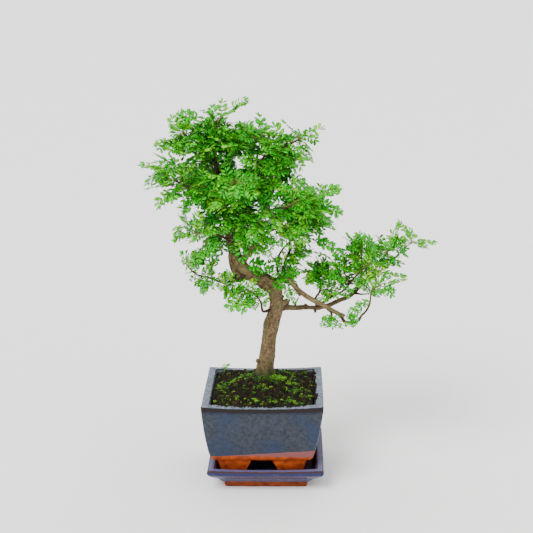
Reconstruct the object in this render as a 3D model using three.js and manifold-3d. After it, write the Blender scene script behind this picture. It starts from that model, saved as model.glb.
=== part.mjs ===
// Japanese pepper bonsai in a square glazed pot, standing on its saucer.
// Millimetres, +Z up, front towards -Y. The origin is the middle of the saucer's flat underside.

import * as THREE from 'three';
import { mergeVertices } from 'three/addons/utils/BufferGeometryUtils.js';
import Module from 'manifold-3d';

const wasm = await Module();
wasm.setup();

// Fits
const SEAT_GAP = 0.3;
const POT_CENTRE_X = -3;

// Saucer: a solid clay base, a shallow glazed tray and a thick lip with turned-up corners.
// Each profile row is a half width and its height.
const SAUCER = {
  base: [[50, 0], [51.5, 2.5], [52, 7.4], [54.5, 8.4], [59.5, 15.5], [66.5, 19.5]],
  lip: [[70.8, 22.6], [72, 25], [71.4, 29], [63.5, 29]],
  tray: [[61.5, 25.5], [59, 20.7]],
};
const SAUCER_BOW = 2.2;
const SAUCER_CORNER_LIFT = 1.4;
const TRAY_FLOOR = SAUCER.tray[1][1];

// Pot: from the bare clay edge up the outside, over the flat rim and down the inside to the floor
const POT = {
  outside: [[58.5, 39], [60, 40], [62, 43.5], [66, 55], [70.5, 78], [75, 110]],
  rim: [[74.6, 114], [65, 114]],
  inside: [[64.2, 111], [61.5, 78], [57, 55], [52, 47]],
};
const POT_BOW = 2.6;
const POT_CORNER_LIFT = 1;
const POT_BOTTOM = POT.outside[0][1];
const POT_FLOOR = POT.inside[3][1];
const DRAIN_HOLE = { radius: 10, sides: 16, length: 30 };

// Feet: one L at each corner, left standing where a ring of clay is cut through on all four sides
const FOOT = { topHalf: 57.6, bottomHalf: 49.9, innerTopHalf: 45, innerBottomHalf: 41, sink: 2 };
const FOOT_GAP = { topHalf: 12.5, bottomHalf: 21, length: 140, below: 2 };

// Drainage mesh: a cut square of plastic net over the drain hole
const NET = { cells: 2, hole: 9.5, bar: 2.4, thickness: 1.4 };

// Soil: just below the rim at its edge, heaped up towards the trunk, with a low crumbly relief on top
const SOIL = {
  edge: 111, edgeHalf: 63.8, edgeDepth: 3, heap: 16, heapWidth: 40, topHalves: [52, 39, 27, 14],
};
const RELIEF = {
  height: 1.1, alongX: 0.31, shift: 1.3, alongY: 0.27, skew: 0.6, skewX: 0.13, skewY: 0.21,
};

// Section counts
const SIDE_STEPS = 3;
const CORNER_CUT = 2.5;
const TRUNK_SIDES = 10;
const BRANCH_SIDES = 6;
const TWIG_SIDES = 4;
const STEM_SIDES = 3;

// Root flare: how far the trunk's foot widens into lobes, and how fast that fades with height
const FLARE = { widen: 0.55, lobes: 5, fade: 9 };

// Leaves: one arched blade cut nearly to the rib, in pairs of wedge-shaped leaflets and one at the tip
const LEAF = {
  thickness: 0.64, ribHalf: 0.7, ribTaper: 0.3, sunk: 0.45, petiole: 0.04, lastPair: 0.82, endLeaflet: 0.9,
  arch: 0.16, fold: 0.18, guard: 0.45,
};
const LEAFLET = {
  reach: 0.3, swell: 0.15, lean: 0.5, halfWidth: 2.8, shoulder: 0.74, tipWidth: 0.6, spacing: 8,
};
const END_LEAF = { least: 27, most: 34, share: 0.7, pairs: 3 };
const SIDE_LEAF = {
  least: 22, most: 28, pairs: 2, leafedShare: 0.8, swing: 0.9, swingSpread: 0.25, tilt: 0.8,
};
const STEM = {
  baseRadius: 1.3, tipRadius: 1.1, least: 4, steps: 2, rise: 0.07, cutStep: 0.15, longestCut: 12,
};

// A shoot's upper side: mostly up, partly away from the middle of the canopy, and a little by chance
const UPPER_SIDE = { up: 0.9, outward: 0.5, chance: 0.7 };
const SEEDS = { first: 101, step: 17 };

// Wood. Each route starts inside the wood that carries it; radii run from its foot to its end.
const WOOD = {
  trunk: {
    sides: TRUNK_SIDES,
    flared: true,
    radii: [
      9.8, 9.7, 10.1, 9.6, 9.1, 9.4, 9, 8.6, 7.8, 7.4, 7.3, 7.6, 7.4, 5.6, 4.5, 3.9, 3.4, 3, 2.6, 2.1, 1.7,
      1.3,
    ],
    route: [
      [-2, 14, 98], [-2, 14, 128], [-1, 14, 138], [2, 12, 159], [5, 11, 180], [9, 9, 200], [13, 7, 216],
      [14, 5, 232], [12, 2, 246], [3, -2, 256], [-10, -5, 263], [-22, -8, 270], [-31, -9, 279],
      [-36, -8, 290], [-39, -6, 302], [-44, -3, 318], [-47, 0, 334], [-49, 4, 352], [-53, 6, 372],
      [-58, 6, 394], [-59, 4, 419], [-58, 2, 439], [-52, 0, 456],
    ],
  },
  upper_right: {
    sides: BRANCH_SIDES,
    radii: [4.4, 2.4],
    route: [
      [13, 2, 251], [23, -6, 262], [29, -10, 260], [35, -14, 254], [45, -19, 245], [57, -24, 238],
      [71, -28, 232], [82, -31, 226], [98, -34, 218],
    ],
  },
  lower_right: {
    sides: BRANCH_SIDES,
    radii: [4.2, 1.1],
    route: [
      [10, 7, 220], [22, 10, 218], [36, 13, 216], [49, 15, 216], [65, 17, 215], [79, 19, 217],
      [92, 20, 223], [105, 21, 228], [113, 22, 234], [122, 22, 244], [131, 21, 253], [142, 20, 260],
      [153, 18, 268],
    ],
  },
  stub: {
    sides: BRANCH_SIDES,
    radii: [4.4, 3.6],
    route: [[-30, -9, 278], [-23, -14, 290], [-16, -18, 300], [-10, -20, 304], [-6, -21, 306]],
  },
  front_right: {
    sides: TWIG_SIDES,
    radii: [2.6, 0.9],
    route: [
      [-44, -3, 318], [-32, -14, 337], [-19, -24, 356], [-9, -27, 380], [-4, -25, 401], [1, -24, 414],
      [14, -24, 421], [30, -24, 428], [43, -22, 435],
    ],
  },
  back_right: {
    sides: TWIG_SIDES,
    radii: [2.4, 0.9],
    route: [[-46, 0, 334], [-34, 20, 349], [-20, 34, 364], [-2, 45, 377], [20, 52, 386], [39, 56, 389]],
  },
  front_left: {
    sides: TWIG_SIDES,
    radii: [2.3, 0.9],
    route: [[-48, 4, 349], [-62, -14, 364], [-77, -28, 375], [-92, -38, 382], [-103, -44, 390]],
  },
  back_left: {
    sides: TWIG_SIDES,
    radii: [2.2, 0.9],
    route: [[-52, 6, 369], [-70, 24, 377], [-90, 38, 384], [-111, 46, 389], [-128, 50, 390]],
  },
  upper_left: {
    sides: TWIG_SIDES,
    radii: [1.9, 0.9],
    route: [[-58, 5, 404], [-71, -4, 420], [-84, -12, 433], [-95, -16, 442]],
  },
  top_back: {
    sides: TWIG_SIDES,
    radii: [1.7, 0.9],
    route: [[-59, 4, 419], [-49, 20, 428], [-35, 34, 434], [-20, 42, 437]],
  },
  top_right: {
    sides: TWIG_SIDES,
    radii: [1.9, 0.9],
    route: [[-56, 6, 391], [-41, -2, 407], [-28, -8, 420], [-16, -12, 432], [-1, -14, 438]],
  },
  mid_front: {
    sides: TWIG_SIDES,
    radii: [2.3, 0.9],
    route: [
      [-43, -3, 316], [-29, -22, 330], [-11, -36, 344], [8, -44, 353], [25, -48, 357], [40, -50, 361],
    ],
  },
  mid_back: {
    sides: TWIG_SIDES,
    radii: [2.3, 0.9],
    route: [[-42, -4, 311], [-32, 20, 316], [-17, 40, 324], [3, 56, 332], [29, 64, 338]],
  },
  face_front: {
    sides: TWIG_SIDES,
    radii: [2, 0.9],
    route: [[-48, 3, 347], [-44, -20, 361], [-38, -42, 378], [-31, -58, 393]],
  },
  face_back: {
    sides: TWIG_SIDES,
    radii: [2, 0.9],
    route: [[-49, 4, 352], [-55, 30, 362], [-57, 50, 374], [-53, 66, 387]],
  },
  low_left: {
    sides: TWIG_SIDES,
    radii: [1.9, 0.9],
    route: [[-40, -6, 305], [-50, -18, 315], [-65, -28, 322], [-80, -34, 324]],
  },
  low_back: {
    sides: TWIG_SIDES,
    radii: [1.9, 0.9],
    route: [[-41, -5, 308], [-57, 16, 318], [-76, 30, 321], [-94, 40, 323]],
  },
  stub_twig: {
    sides: TWIG_SIDES,
    radii: [1.8, 0.9],
    route: [[-15, -18, 301], [-5, -28, 316], [9, -34, 326], [23, -38, 333]],
  },
  left_low: {
    sides: TWIG_SIDES,
    radii: [2.2, 0.9],
    route: [
      [-22, -8, 269], [-30, -16, 263], [-39, -20, 262], [-48, -22, 258], [-56, -22, 260], [-68, -22, 265],
      [-83, -22, 269], [-93, -22, 278],
    ],
  },
  below_arm: {
    sides: TWIG_SIDES,
    radii: [1.8, 0.9],
    route: [[8, 7, 216], [2, -2, 216], [-3, -8, 218], [-5, -12, 230], [-11, -17, 241], [-19, -20, 247]],
  },
  hooked: {
    sides: TWIG_SIDES,
    radii: [1.8, 0.9],
    route: [
      [92, -33, 221], [99, -36, 212], [107, -38, 213], [115, -40, 215], [118, -41, 221], [124, -42, 228],
      [128, -43, 237], [129, -44, 246], [131, -46, 255], [139, -48, 261],
    ],
  },
  peg: {
    sides: TWIG_SIDES,
    radii: [1.7, 1.2],
    route: [[78, -30, 227], [82, -31, 222], [82, -31, 212]],
  },
  riser: {
    sides: TWIG_SIDES,
    radii: [1.8, 0.9],
    route: [
      [22, -6, 261], [24, -6, 273], [27, -6, 286], [31, -5, 294], [31, -4, 304], [34, -3, 311],
      [40, -2, 320], [51, 0, 328],
    ],
  },
  riser_back: {
    sides: TWIG_SIDES,
    radii: [1.8, 0.9],
    route: [[19, -2, 258], [15, 14, 268], [17, 28, 280], [26, 40, 291], [39, 48, 300]],
  },
  inner_right: {
    sides: TWIG_SIDES,
    radii: [1.9, 0.9],
    route: [
      [66, 17, 216], [75, 11, 225], [86, 6, 234], [96, 2, 240], [103, -1, 249], [103, -3, 258],
      [99, -5, 265],
    ],
  },
  inner_front: {
    sides: TWIG_SIDES,
    radii: [1.3, 0.9],
    route: [[103, -1, 249], [112, -12, 263], [123, -22, 277], [136, -30, 291]],
  },
  fork: {
    sides: TWIG_SIDES,
    radii: [1.6, 0.9],
    route: [[65, 16, 217], [63, 12, 228], [68, 8, 238], [69, 6, 248], [68, 5, 258]],
  },
  tall_right: {
    sides: TWIG_SIDES,
    radii: [1.5, 0.9],
    route: [[131, 21, 253], [141, 24, 266], [150, 27, 278], [156, 29, 287]],
  },
  tip_right: {
    sides: TWIG_SIDES,
    radii: [1.1, 0.9],
    route: [[149, 19, 265], [161, 14, 279], [171, 10, 291], [182, 8, 301]],
  },
  back_right_fan: {
    sides: TWIG_SIDES,
    radii: [1.6, 0.9],
    route: [[113, 22, 234], [120, 36, 245], [129, 48, 259], [134, 56, 273]],
  },
  mid_spur: {
    sides: TWIG_SIDES,
    radii: [1.4, 0.9],
    route: [[122, 22, 244], [120, 10, 259], [120, 2, 276], [120, -2, 287]],
  },
  spur: {
    sides: TWIG_SIDES,
    radii: [1.4, 0.9],
    route: [[112, 22, 233], [121, 15, 233], [129, 10, 235]],
  },
  knob: {
    sides: TWIG_SIDES,
    radii: [2.2, 1.6],
    route: [[26, 10, 218], [28, 7, 224], [30, 4, 229]],
  },
};

// Leafy shoots. The base lies on the wood, and the tip is the end of the last leaf.
const SHOOTS = [
  { base: [-52, 0, 456], tip: [-17, -2, 483], leaves: 3 },
  { base: [-56, 1, 445], tip: [-104, -6, 466], leaves: 3 },
  { base: [-53, 0, 453], tip: [-66, 16, 473], leaves: 2 },
  { base: [-95, -16, 442], tip: [-108, -34, 458], leaves: 2 },
  { base: [-84, -12, 433], tip: [-134, -10, 432], leaves: 3 },
  { base: [-71, -4, 420], tip: [-98, -40, 423], leaves: 2 },
  { base: [-1, -14, 438], tip: [19, -36, 446], leaves: 2 },
  { base: [-28, -8, 420], tip: [-43, -46, 437], leaves: 2 },
  { base: [-16, -12, 432], tip: [5, 10, 453], leaves: 2 },
  { base: [-20, 42, 437], tip: [6, 62, 423], leaves: 2 },
  { base: [-35, 34, 434], tip: [-59, 58, 441], leaves: 2 },
  { base: [43, -22, 435], tip: [60, -26, 452], leaves: 2 },
  { base: [30, -24, 428], tip: [62, -34, 415], leaves: 2 },
  { base: [14, -24, 421], tip: [42, -46, 407], leaves: 3 },
  { base: [-4, -25, 401], tip: [-22, -64, 419], leaves: 3 },
  { base: [-9, -27, 380], tip: [32, -48, 383], leaves: 3 },
  { base: [39, 56, 389], tip: [51, 72, 406], leaves: 2 },
  { base: [20, 52, 386], tip: [48, 66, 367], leaves: 2 },
  { base: [-20, 34, 364], tip: [-17, 66, 384], leaves: 2 },
  { base: [25, -48, 357], tip: [90, -54, 384], leaves: 3 },
  { base: [40, -50, 361], tip: [92, -62, 358], leaves: 2 },
  { base: [8, -44, 353], tip: [21, -78, 338], leaves: 3 },
  { base: [-11, -36, 344], tip: [-13, -66, 322], leaves: 2 },
  { base: [29, 64, 338], tip: [83, 64, 349], leaves: 3 },
  { base: [3, 56, 332], tip: [2, 88, 300], leaves: 3 },
  { base: [-31, -58, 393], tip: [-7, -84, 378], leaves: 3 },
  { base: [-38, -42, 378], tip: [-59, -72, 363], leaves: 2 },
  { base: [-53, 66, 387], tip: [-36, 86, 404], leaves: 2 },
  { base: [-53, 66, 387], tip: [-80, 92, 369], leaves: 2 },
  { base: [-57, 50, 374], tip: [-37, 84, 344], leaves: 3 },
  { base: [-103, -44, 390], tip: [-143, -54, 416], leaves: 3 },
  { base: [-92, -38, 382], tip: [-130, -52, 361], leaves: 2 },
  { base: [-77, -28, 375], tip: [-97, -50, 352], leaves: 2 },
  { base: [-128, 50, 390], tip: [-157, 62, 367], leaves: 2 },
  { base: [-111, 46, 389], tip: [-138, 54, 412], leaves: 2 },
  { base: [-80, -34, 324], tip: [-111, -42, 321], leaves: 2 },
  { base: [-65, -28, 322], tip: [-81, -48, 290], leaves: 2 },
  { base: [-94, 40, 323], tip: [-121, 60, 304], leaves: 2 },
  { base: [-76, 30, 321], tip: [-69, 52, 280], leaves: 2 },
  { base: [-92, -22, 277], tip: [-87, -26, 301], leaves: 2 },
  { base: [-68, -22, 265], tip: [-81, -26, 248], leaves: 1 },
  { base: [-19, -20, 247], tip: [-50, -30, 227], leaves: 3 },
  { base: [23, -38, 333], tip: [55, -46, 315], leaves: 2 },
  { base: [51, 0, 328], tip: [90, 4, 326], leaves: 2 },
  { base: [33, -3, 309], tip: [79, -8, 310], leaves: 2 },
  { base: [39, 48, 300], tip: [76, 62, 308], leaves: 2 },
  { base: [99, -5, 265], tip: [70, -14, 301], leaves: 2 },
  { base: [136, -30, 291], tip: [122, -46, 326], leaves: 2 },
  { base: [120, -2, 287], tip: [102, 0, 317], leaves: 3 },
  { base: [156, 29, 287], tip: [173, 34, 326], leaves: 3 },
  { base: [182, 8, 301], tip: [202, 2, 308], leaves: 2 },
  { base: [134, 56, 273], tip: [156, 72, 290], leaves: 2 },
  { base: [139, -48, 261], tip: [172, -56, 275], leaves: 2 },
  { base: [82, -31, 216], tip: [96, -40, 209], leaves: 1 },
  { base: [68, 5, 258], tip: [56, 2, 283], leaves: 2 },
];
const CANOPY_AXIS = new THREE.Vector3(-30, 0, 340);

// Colours seen on the real thing
const GLAZE = { color: 0x4f5a66, roughness: 0.25, metalness: 0 };
const SAUCER_GLAZE = { color: 0x50609a, roughness: 0.25, metalness: 0 };
const NET_PLASTIC = { color: 0x1d1f20, roughness: 0.6, metalness: 0 };
const DARK_SOIL = { color: 0x2c2018, roughness: 1, metalness: 0 };
const BARK = { color: 0x8b7350, roughness: 0.9, metalness: 0 };
const LEAF_GREEN = { color: 0x2f9e1e, roughness: 0.4, metalness: 0 };

// Closed geometry to solid and back
function solid(geometry) {
  const bare = geometry.index ? geometry.clone() : geometry;
  bare.deleteAttribute('normal');
  bare.deleteAttribute('uv');
  const merged = mergeVertices(bare, 1e-4);
  return new wasm.Manifold(new wasm.Mesh({
    numProp: 3,
    vertProperties: Float32Array.from(merged.attributes.position.array),
    triVerts: Uint32Array.from(merged.index.array),
  }));
}

function geometryOf(body) {
  const mesh = body.getMesh();
  const geometry = new THREE.BufferGeometry();
  geometry.setAttribute('position', new THREE.BufferAttribute(Float32Array.from(mesh.vertProperties), 3));
  geometry.setIndex(new THREE.BufferAttribute(Uint32Array.from(mesh.triVerts), 1));
  return geometry;
}

function named(name, geometry, finish) {
  const mesh = new THREE.Mesh(geometry, new THREE.MeshStandardMaterial(finish));
  mesh.name = name;
  return mesh;
}

// A closed skin over a stack of rings with equal numbers of points. The first and last ring are closed
// flat, or, where it is hollow, the last one joins the first.
function skin(rings, hollow = false) {
  const count = rings[0].length;
  const points = rings.flat();
  const faces = [];
  const last = hollow ? rings.length : rings.length - 1;
  for (let r = 0; r < last; r += 1) {
    const low = r * count;
    const high = ((r + 1) % rings.length) * count;
    for (let i = 0; i < count; i += 1) {
      const j = (i + 1) % count;
      faces.push(low + i, low + j, high + j, low + i, high + j, high + i);
    }
  }
  if (!hollow) {
    const end = (rings.length - 1) * count;
    for (let i = 1; i < count - 1; i += 1) faces.push(0, i + 1, i, end, end + i, end + i + 1);
  }
  const geometry = new THREE.BufferGeometry().setFromPoints(points);
  geometry.setIndex(faces);
  return geometry;
}

// One ring of a square vessel: its sides are bowed outwards, its corners cut off by a short face and, with
// a lift, raised a little
function squareRing(half, z, { bow, lift = 0 }) {
  const ring = [];
  for (let side = 0; side < 4; side += 1) {
    const turn = new THREE.Matrix4().makeRotationZ(side * Math.PI / 2);
    for (let step = 0; step <= SIDE_STEPS; step += 1) {
      const along = 2 * step / SIDE_STEPS - 1;
      const out = half - bow * along * along;
      const raised = z + lift * along ** 4;
      ring.push(new THREE.Vector3(out, along * (half - bow - CORNER_CUT), raised).applyMatrix4(turn));
    }
  }
  return ring;
}

function profileRings(rows, shape) {
  return rows.map(([half, z]) => squareRing(half, z, shape));
}

// Saucer, from the underside out over the lip and in to the floor of the tray
function saucer() {
  const bow = SAUCER_BOW;
  return skin([
    ...profileRings(SAUCER.base, { bow }),
    ...profileRings(SAUCER.lip, { bow, lift: SAUCER_CORNER_LIFT }),
    ...profileRings(SAUCER.tray, { bow }),
  ]);
}

// Pot, from its underside up the bowed outside, over the flat rim and down to the floor, with its feet
function pot() {
  const bow = POT_BOW;
  const body = solid(skin([
    ...profileRings(POT.outside, { bow }),
    ...profileRings(POT.rim, { bow, lift: POT_CORNER_LIFT }),
    ...profileRings(POT.inside, { bow }),
  ]));
  return geometryOf(body.add(feet()).subtract(drainHole()));
}

function feet() {
  const seat = TRAY_FLOOR + SEAT_GAP;
  const top = POT_BOTTOM + FOOT.sink;
  const around = [
    [FOOT.innerBottomHalf, seat], [FOOT.bottomHalf, seat], [FOOT.topHalf, POT_BOTTOM], [FOOT.topHalf, top],
    [FOOT.innerTopHalf, top], [FOOT.innerTopHalf, POT_BOTTOM],
  ];
  const ring = solid(skin(profileRings(around, { bow: POT_BOW }), true));
  return ring.subtract(footGap(0)).subtract(footGap(Math.PI / 2));
}

// The wedge of air between two feet, right through under the pot
function footGap(turn) {
  const rise = POT_BOTTOM - TRAY_FLOOR - SEAT_GAP;
  const slope = (FOOT_GAP.bottomHalf - FOOT_GAP.topHalf) / rise;
  const wide = FOOT_GAP.bottomHalf + slope * FOOT_GAP.below;
  const outline = new THREE.Shape();
  outline.moveTo(-wide, -rise - FOOT_GAP.below);
  outline.lineTo(wide, -rise - FOOT_GAP.below);
  outline.lineTo(FOOT_GAP.topHalf, 0);
  outline.lineTo(-FOOT_GAP.topHalf, 0);
  const wedge = new THREE.ExtrudeGeometry(outline, { depth: FOOT_GAP.length, bevelEnabled: false });
  wedge.translate(0, 0, -FOOT_GAP.length / 2);
  wedge.rotateX(Math.PI / 2);
  wedge.rotateZ(turn);
  wedge.translate(0, 0, POT_BOTTOM);
  return solid(wedge);
}

function drainHole() {
  const { radius, sides, length } = DRAIN_HOLE;
  const bore = new THREE.CylinderGeometry(radius, radius, length, sides);
  bore.rotateX(Math.PI / 2);
  bore.translate(0, 0, POT_FLOOR);
  return solid(bore);
}

// Drainage mesh: flat bars crossing each other, joined into one net
function netSize() {
  return NET.cells * NET.hole + (NET.cells + 1) * NET.bar;
}

function drainMesh() {
  const size = netSize();
  const bars = [];
  for (let i = 0; i <= NET.cells; i += 1) {
    const place = i * (NET.hole + NET.bar) + NET.bar / 2 - size / 2;
    const height = POT_FLOOR + SEAT_GAP + NET.thickness / 2;
    bars.push(new THREE.BoxGeometry(size, NET.bar, NET.thickness).translate(0, place, height));
    bars.push(new THREE.BoxGeometry(NET.bar, size, NET.thickness).translate(place, 0, height));
  }
  return geometryOf(wasm.Manifold.union(bars.map(solid)));
}

// Soil height above the table at a point of the pot: a heap round the trunk on crumbly low relief
function soilHeight(x, y) {
  const [trunkX, trunkY] = WOOD.trunk.route[1];
  const away = Math.hypot(x + POT_CENTRE_X - trunkX, y - trunkY) / SOIL.heapWidth;
  const { height, alongX, shift, alongY, skew, skewX, skewY } = RELIEF;
  const waves = Math.sin(x * alongX + shift) * Math.cos(y * alongY);
  const skewed = skew * Math.sin(x * skewX - y * skewY);
  return SOIL.edge + SOIL.heap * Math.exp(-away * away) + height * (waves + skewed);
}

function soil() {
  const { edge, edgeHalf, edgeDepth, topHalves } = SOIL;
  const fromFloor = POT.inside.slice(1).reverse().map(([half, z]) => [half - SEAT_GAP, z + SEAT_GAP]);
  const wall = [...fromFloor, [edgeHalf - SEAT_GAP, edge - edgeDepth]];
  const topRing = (half) => squareRing(half - SEAT_GAP, 0, { bow: POT_BOW * half / edgeHalf })
    .map((p) => p.setZ(soilHeight(p.x, p.y)));
  const top = [edgeHalf, ...topHalves].map(topRing);
  const heap = solid(skin([...profileRings(wall, { bow: POT_BOW }), ...top]));
  const half = netSize() / 2 + SEAT_GAP;
  const recess = new THREE.BoxGeometry(2 * half, 2 * half, 2 * (NET.thickness + 2 * SEAT_GAP));
  recess.translate(0, 0, POT_FLOOR + SEAT_GAP);
  return heap.subtract(solid(recess));
}

// Wood: a tapered tube along each route, joined where it leaves its parent
function alongRoute(route) {
  return new THREE.CatmullRomCurve3(route.map((p) => new THREE.Vector3(...p)), false, 'centripetal');
}

function radiusAt(radii, t) {
  const place = t * (radii.length - 1);
  const below = Math.min(Math.floor(place), radii.length - 2);
  return THREE.MathUtils.lerp(radii[below], radii[below + 1], place - below);
}

function tube(curve, steps, sides, radius) {
  const frames = curve.computeFrenetFrames(steps, false);
  const rings = [];
  for (let step = 0; step <= steps; step += 1) {
    const centre = curve.getPointAt(step / steps);
    const ring = [];
    for (let side = 0; side < sides; side += 1) {
      const angle = side * 2 * Math.PI / sides;
      const reach = radius(step / steps, angle, centre);
      ring.push(centre.clone()
        .addScaledVector(frames.normals[step], reach * Math.cos(angle))
        .addScaledVector(frames.binormals[step], reach * Math.sin(angle)));
    }
    rings.push(ring);
  }
  return solid(skin(rings));
}

function limb({ route, radii, sides, flared = false }, extra = 0) {
  const flare = (angle, centre) => {
    const above = Math.abs(centre.z - SOIL.edge - SOIL.heap);
    return 1 + FLARE.widen * Math.exp(-above / FLARE.fade) * (0.5 + 0.5 * Math.cos(FLARE.lobes * angle));
  };
  const radius = (t, angle, centre) => extra + radiusAt(radii, t) * (flared ? flare(angle, centre) : 1);
  return tube(alongRoute(route), route.length - 1, sides, radius);
}

function allWood(extra = 0) {
  return wasm.Manifold.union(Object.values(WOOD).map((part) => limb(part, extra)));
}

// Repeatable random numbers from 0 to 1
function randomFrom(seed) {
  let state = seed;
  return () => {
    state = (state + 0x6d2b79f5) | 0;
    let mixed = Math.imul(state ^ (state >>> 15), 1 | state);
    mixed = (mixed + Math.imul(mixed ^ (mixed >>> 7), 61 | mixed)) ^ mixed;
    return ((mixed ^ (mixed >>> 14)) >>> 0) / 4294967296;
  };
}

// Outline of a pinnate leaf in its own plane: the rib runs along x, and leaflets with narrow roots lean
// forward from it in pairs, with one more at the tip
function leafOutline({ length, pairs }, grown) {
  const first = LEAF.petiole * length;
  const pitch = (LEAF.lastPair * length - first) / pairs;
  const out = new THREE.Vector2(Math.sin(LEAFLET.lean), Math.cos(LEAFLET.lean));
  const across = new THREE.Vector2(out.y, -out.x);
  const half = LEAFLET.halfWidth + grown;
  const ribEdge = (x) => new THREE.Vector2(x, LEAF.ribHalf * (1 - LEAF.ribTaper * (x / length) ** 2));
  const side = [];
  for (let pair = 0; pair < pairs; pair += 1) {
    const swell = 1 - LEAFLET.swell + LEAFLET.swell * Math.sin(Math.PI * (pair + 0.5) / pairs);
    const size = LEAFLET.reach * length * swell + grown;
    const root = first + pitch * (pair + 0.5);
    const middle = new THREE.Vector2(root, 0);
    side.push(ribEdge(root - LEAF.ribHalf));
    side.push(middle.clone().addScaledVector(out, LEAFLET.shoulder * size).addScaledVector(across, -half));
    side.push(middle.clone().addScaledVector(out, size).addScaledVector(across, LEAFLET.tipWidth * half));
    side.push(ribEdge(root + LEAF.ribHalf));
  }
  side.push(new THREE.Vector2(LEAF.endLeaflet * length, half));
  const other = side.map((p) => new THREE.Vector2(p.x, -p.y)).reverse();
  return [new THREE.Vector2(-LEAF.sunk, 0), ...side, new THREE.Vector2(length + grown, 0), ...other];
}

// The blade: both faces carry the same triangles, arched down towards the tip and folded up from the rib
function leafBlade(leaf, grown = 0) {
  const { length, root, along, normal } = leaf;
  const outline = leafOutline(leaf, grown);
  if (THREE.ShapeUtils.isClockWise(outline)) outline.reverse();
  const triangles = THREE.ShapeUtils.triangulateShape(outline, []);
  const across = new THREE.Vector3().crossVectors(normal, along);
  const half = LEAF.thickness / 2 + grown;
  const face = (offset) => outline.map((p) => {
    const bend = LEAF.fold * Math.abs(p.y) - LEAF.arch * p.x * p.x / length;
    return root.clone()
      .addScaledVector(along, p.x)
      .addScaledVector(across, p.y)
      .addScaledVector(normal, bend + offset);
  });
  const points = [...face(half), ...face(-half)];
  const count = outline.length;
  const faces = [];
  for (const [a, b, c] of triangles) faces.push(a, b, c, count + a, count + c, count + b);
  for (let i = 0; i < count; i += 1) {
    const j = (i + 1) % count;
    faces.push(i, count + i, count + j, i, count + j, j);
  }
  const geometry = new THREE.BufferGeometry().setFromPoints(points);
  geometry.setIndex(faces);
  return solid(geometry);
}

// Where a shoot's stem runs, and where its leaves would like to stand
function shootPlan({ base, tip, leaves }, seed) {
  const random = randomFrom(seed);
  const foot = new THREE.Vector3(...base);
  const end = new THREE.Vector3(...tip);
  const reach = foot.distanceTo(end);
  const heading = end.clone().sub(foot).normalize();
  const outward = foot.clone().sub(CANOPY_AXIS).setZ(0).normalize();
  const chance = new THREE.Vector3(random() - 0.5, random() - 0.5, random() - 0.5);
  const normal = new THREE.Vector3(0, 0, UPPER_SIDE.up)
    .addScaledVector(outward, UPPER_SIDE.outward)
    .addScaledVector(chance, UPPER_SIDE.chance);
  normal.addScaledVector(heading, -normal.dot(heading)).normalize();
  const wanted = THREE.MathUtils.clamp(END_LEAF.share * reach, END_LEAF.least, END_LEAF.most);
  const last = Math.min(wanted, reach - STEM.least);
  const stemEnd = end.clone().addScaledVector(heading, -last);
  const bulge = foot.clone().lerp(stemEnd, 0.5).addScaledVector(normal, STEM.rise * reach);
  const stem = new THREE.QuadraticBezierCurve3(foot, bulge, stemEnd);
  const places = [{ length: last, pairs: END_LEAF.pairs, root: stemEnd, along: heading, normal }];
  for (let i = 1; i < leaves; i += 1) {
    const t = 1 - i / leaves * SIDE_LEAF.leafedShare;
    const swing = (i % 2 ? 1 : -1) * (SIDE_LEAF.swing + SIDE_LEAF.swingSpread * random());
    const length = THREE.MathUtils.lerp(SIDE_LEAF.least, SIDE_LEAF.most, random());
    const along = heading.clone().applyAxisAngle(normal, swing);
    const tilt = (random() - 0.5) * SIDE_LEAF.tilt;
    const own = normal.clone().applyAxisAngle(heading, tilt);
    own.addScaledVector(along, -own.dot(along)).normalize();
    places.push({ length, pairs: SIDE_LEAF.pairs, root: stem.getPointAt(t), along, normal: own });
  }
  return { stem, places };
}

// Ways to turn a leaf that would touch another shoot or the wood: rolled about its rib, swung along with
// that by a share of the roll, and shortened
const ROLLS = [0, 0.35, -0.35, 0.7, -0.7, 1.05, -1.05, 1.5, -1.5, 2.2, -2.2, Math.PI];
const SWING_SHARE = 0.35;
const SHORTER = [1, 0.86];

function turned(place, roll, shorter) {
  const along = place.along.clone().applyAxisAngle(place.normal, SWING_SHARE * roll);
  const normal = place.normal.clone().applyAxisAngle(place.along, roll);
  normal.addScaledVector(along, -normal.dot(along)).normalize();
  const length = place.length * shorter;
  const pairs = Math.min(place.pairs, Math.floor(length / LEAFLET.spacing));
  return { length, pairs, root: place.root, along, normal };
}

function boxesMeet(a, b) {
  return [0, 1, 2].every((k) => a.min[k] <= b.max[k] && b.min[k] <= a.max[k]);
}

const TOUCH_VOLUME = 1e-6;

function meets(body, others) {
  const box = body.boundingBox();
  const touches = (other) => body.intersect(other.body).volume() > TOUCH_VOLUME;
  return others.some((other) => boxesMeet(box, other.box) && touches(other));
}

function largest(body) {
  return body.decompose().reduce((best, part) => (part.volume() > best.volume() ? part : best));
}

// A shoot's stem starts at the first point of its curve where it stands clear of the wood
function seatedStem(curve, wood) {
  const radius = (t) => THREE.MathUtils.lerp(STEM.baseRadius, STEM.tipRadius, t);
  const whole = curve.getLength();
  for (let cut = 0; cut < STEM.longestCut; cut += STEM.cutStep) {
    const from = cut / whole;
    const spots = [0, 0.5, 1].map((t) => curve.getPointAt(THREE.MathUtils.lerp(from, 1, t)));
    const rest = new THREE.CatmullRomCurve3(spots);
    const body = tube(rest, STEM.steps, STEM_SIDES, radius);
    if (!meets(body, [wood])) return body;
  }
  throw new Error('a shoot finds no seat on the wood');
}

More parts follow.
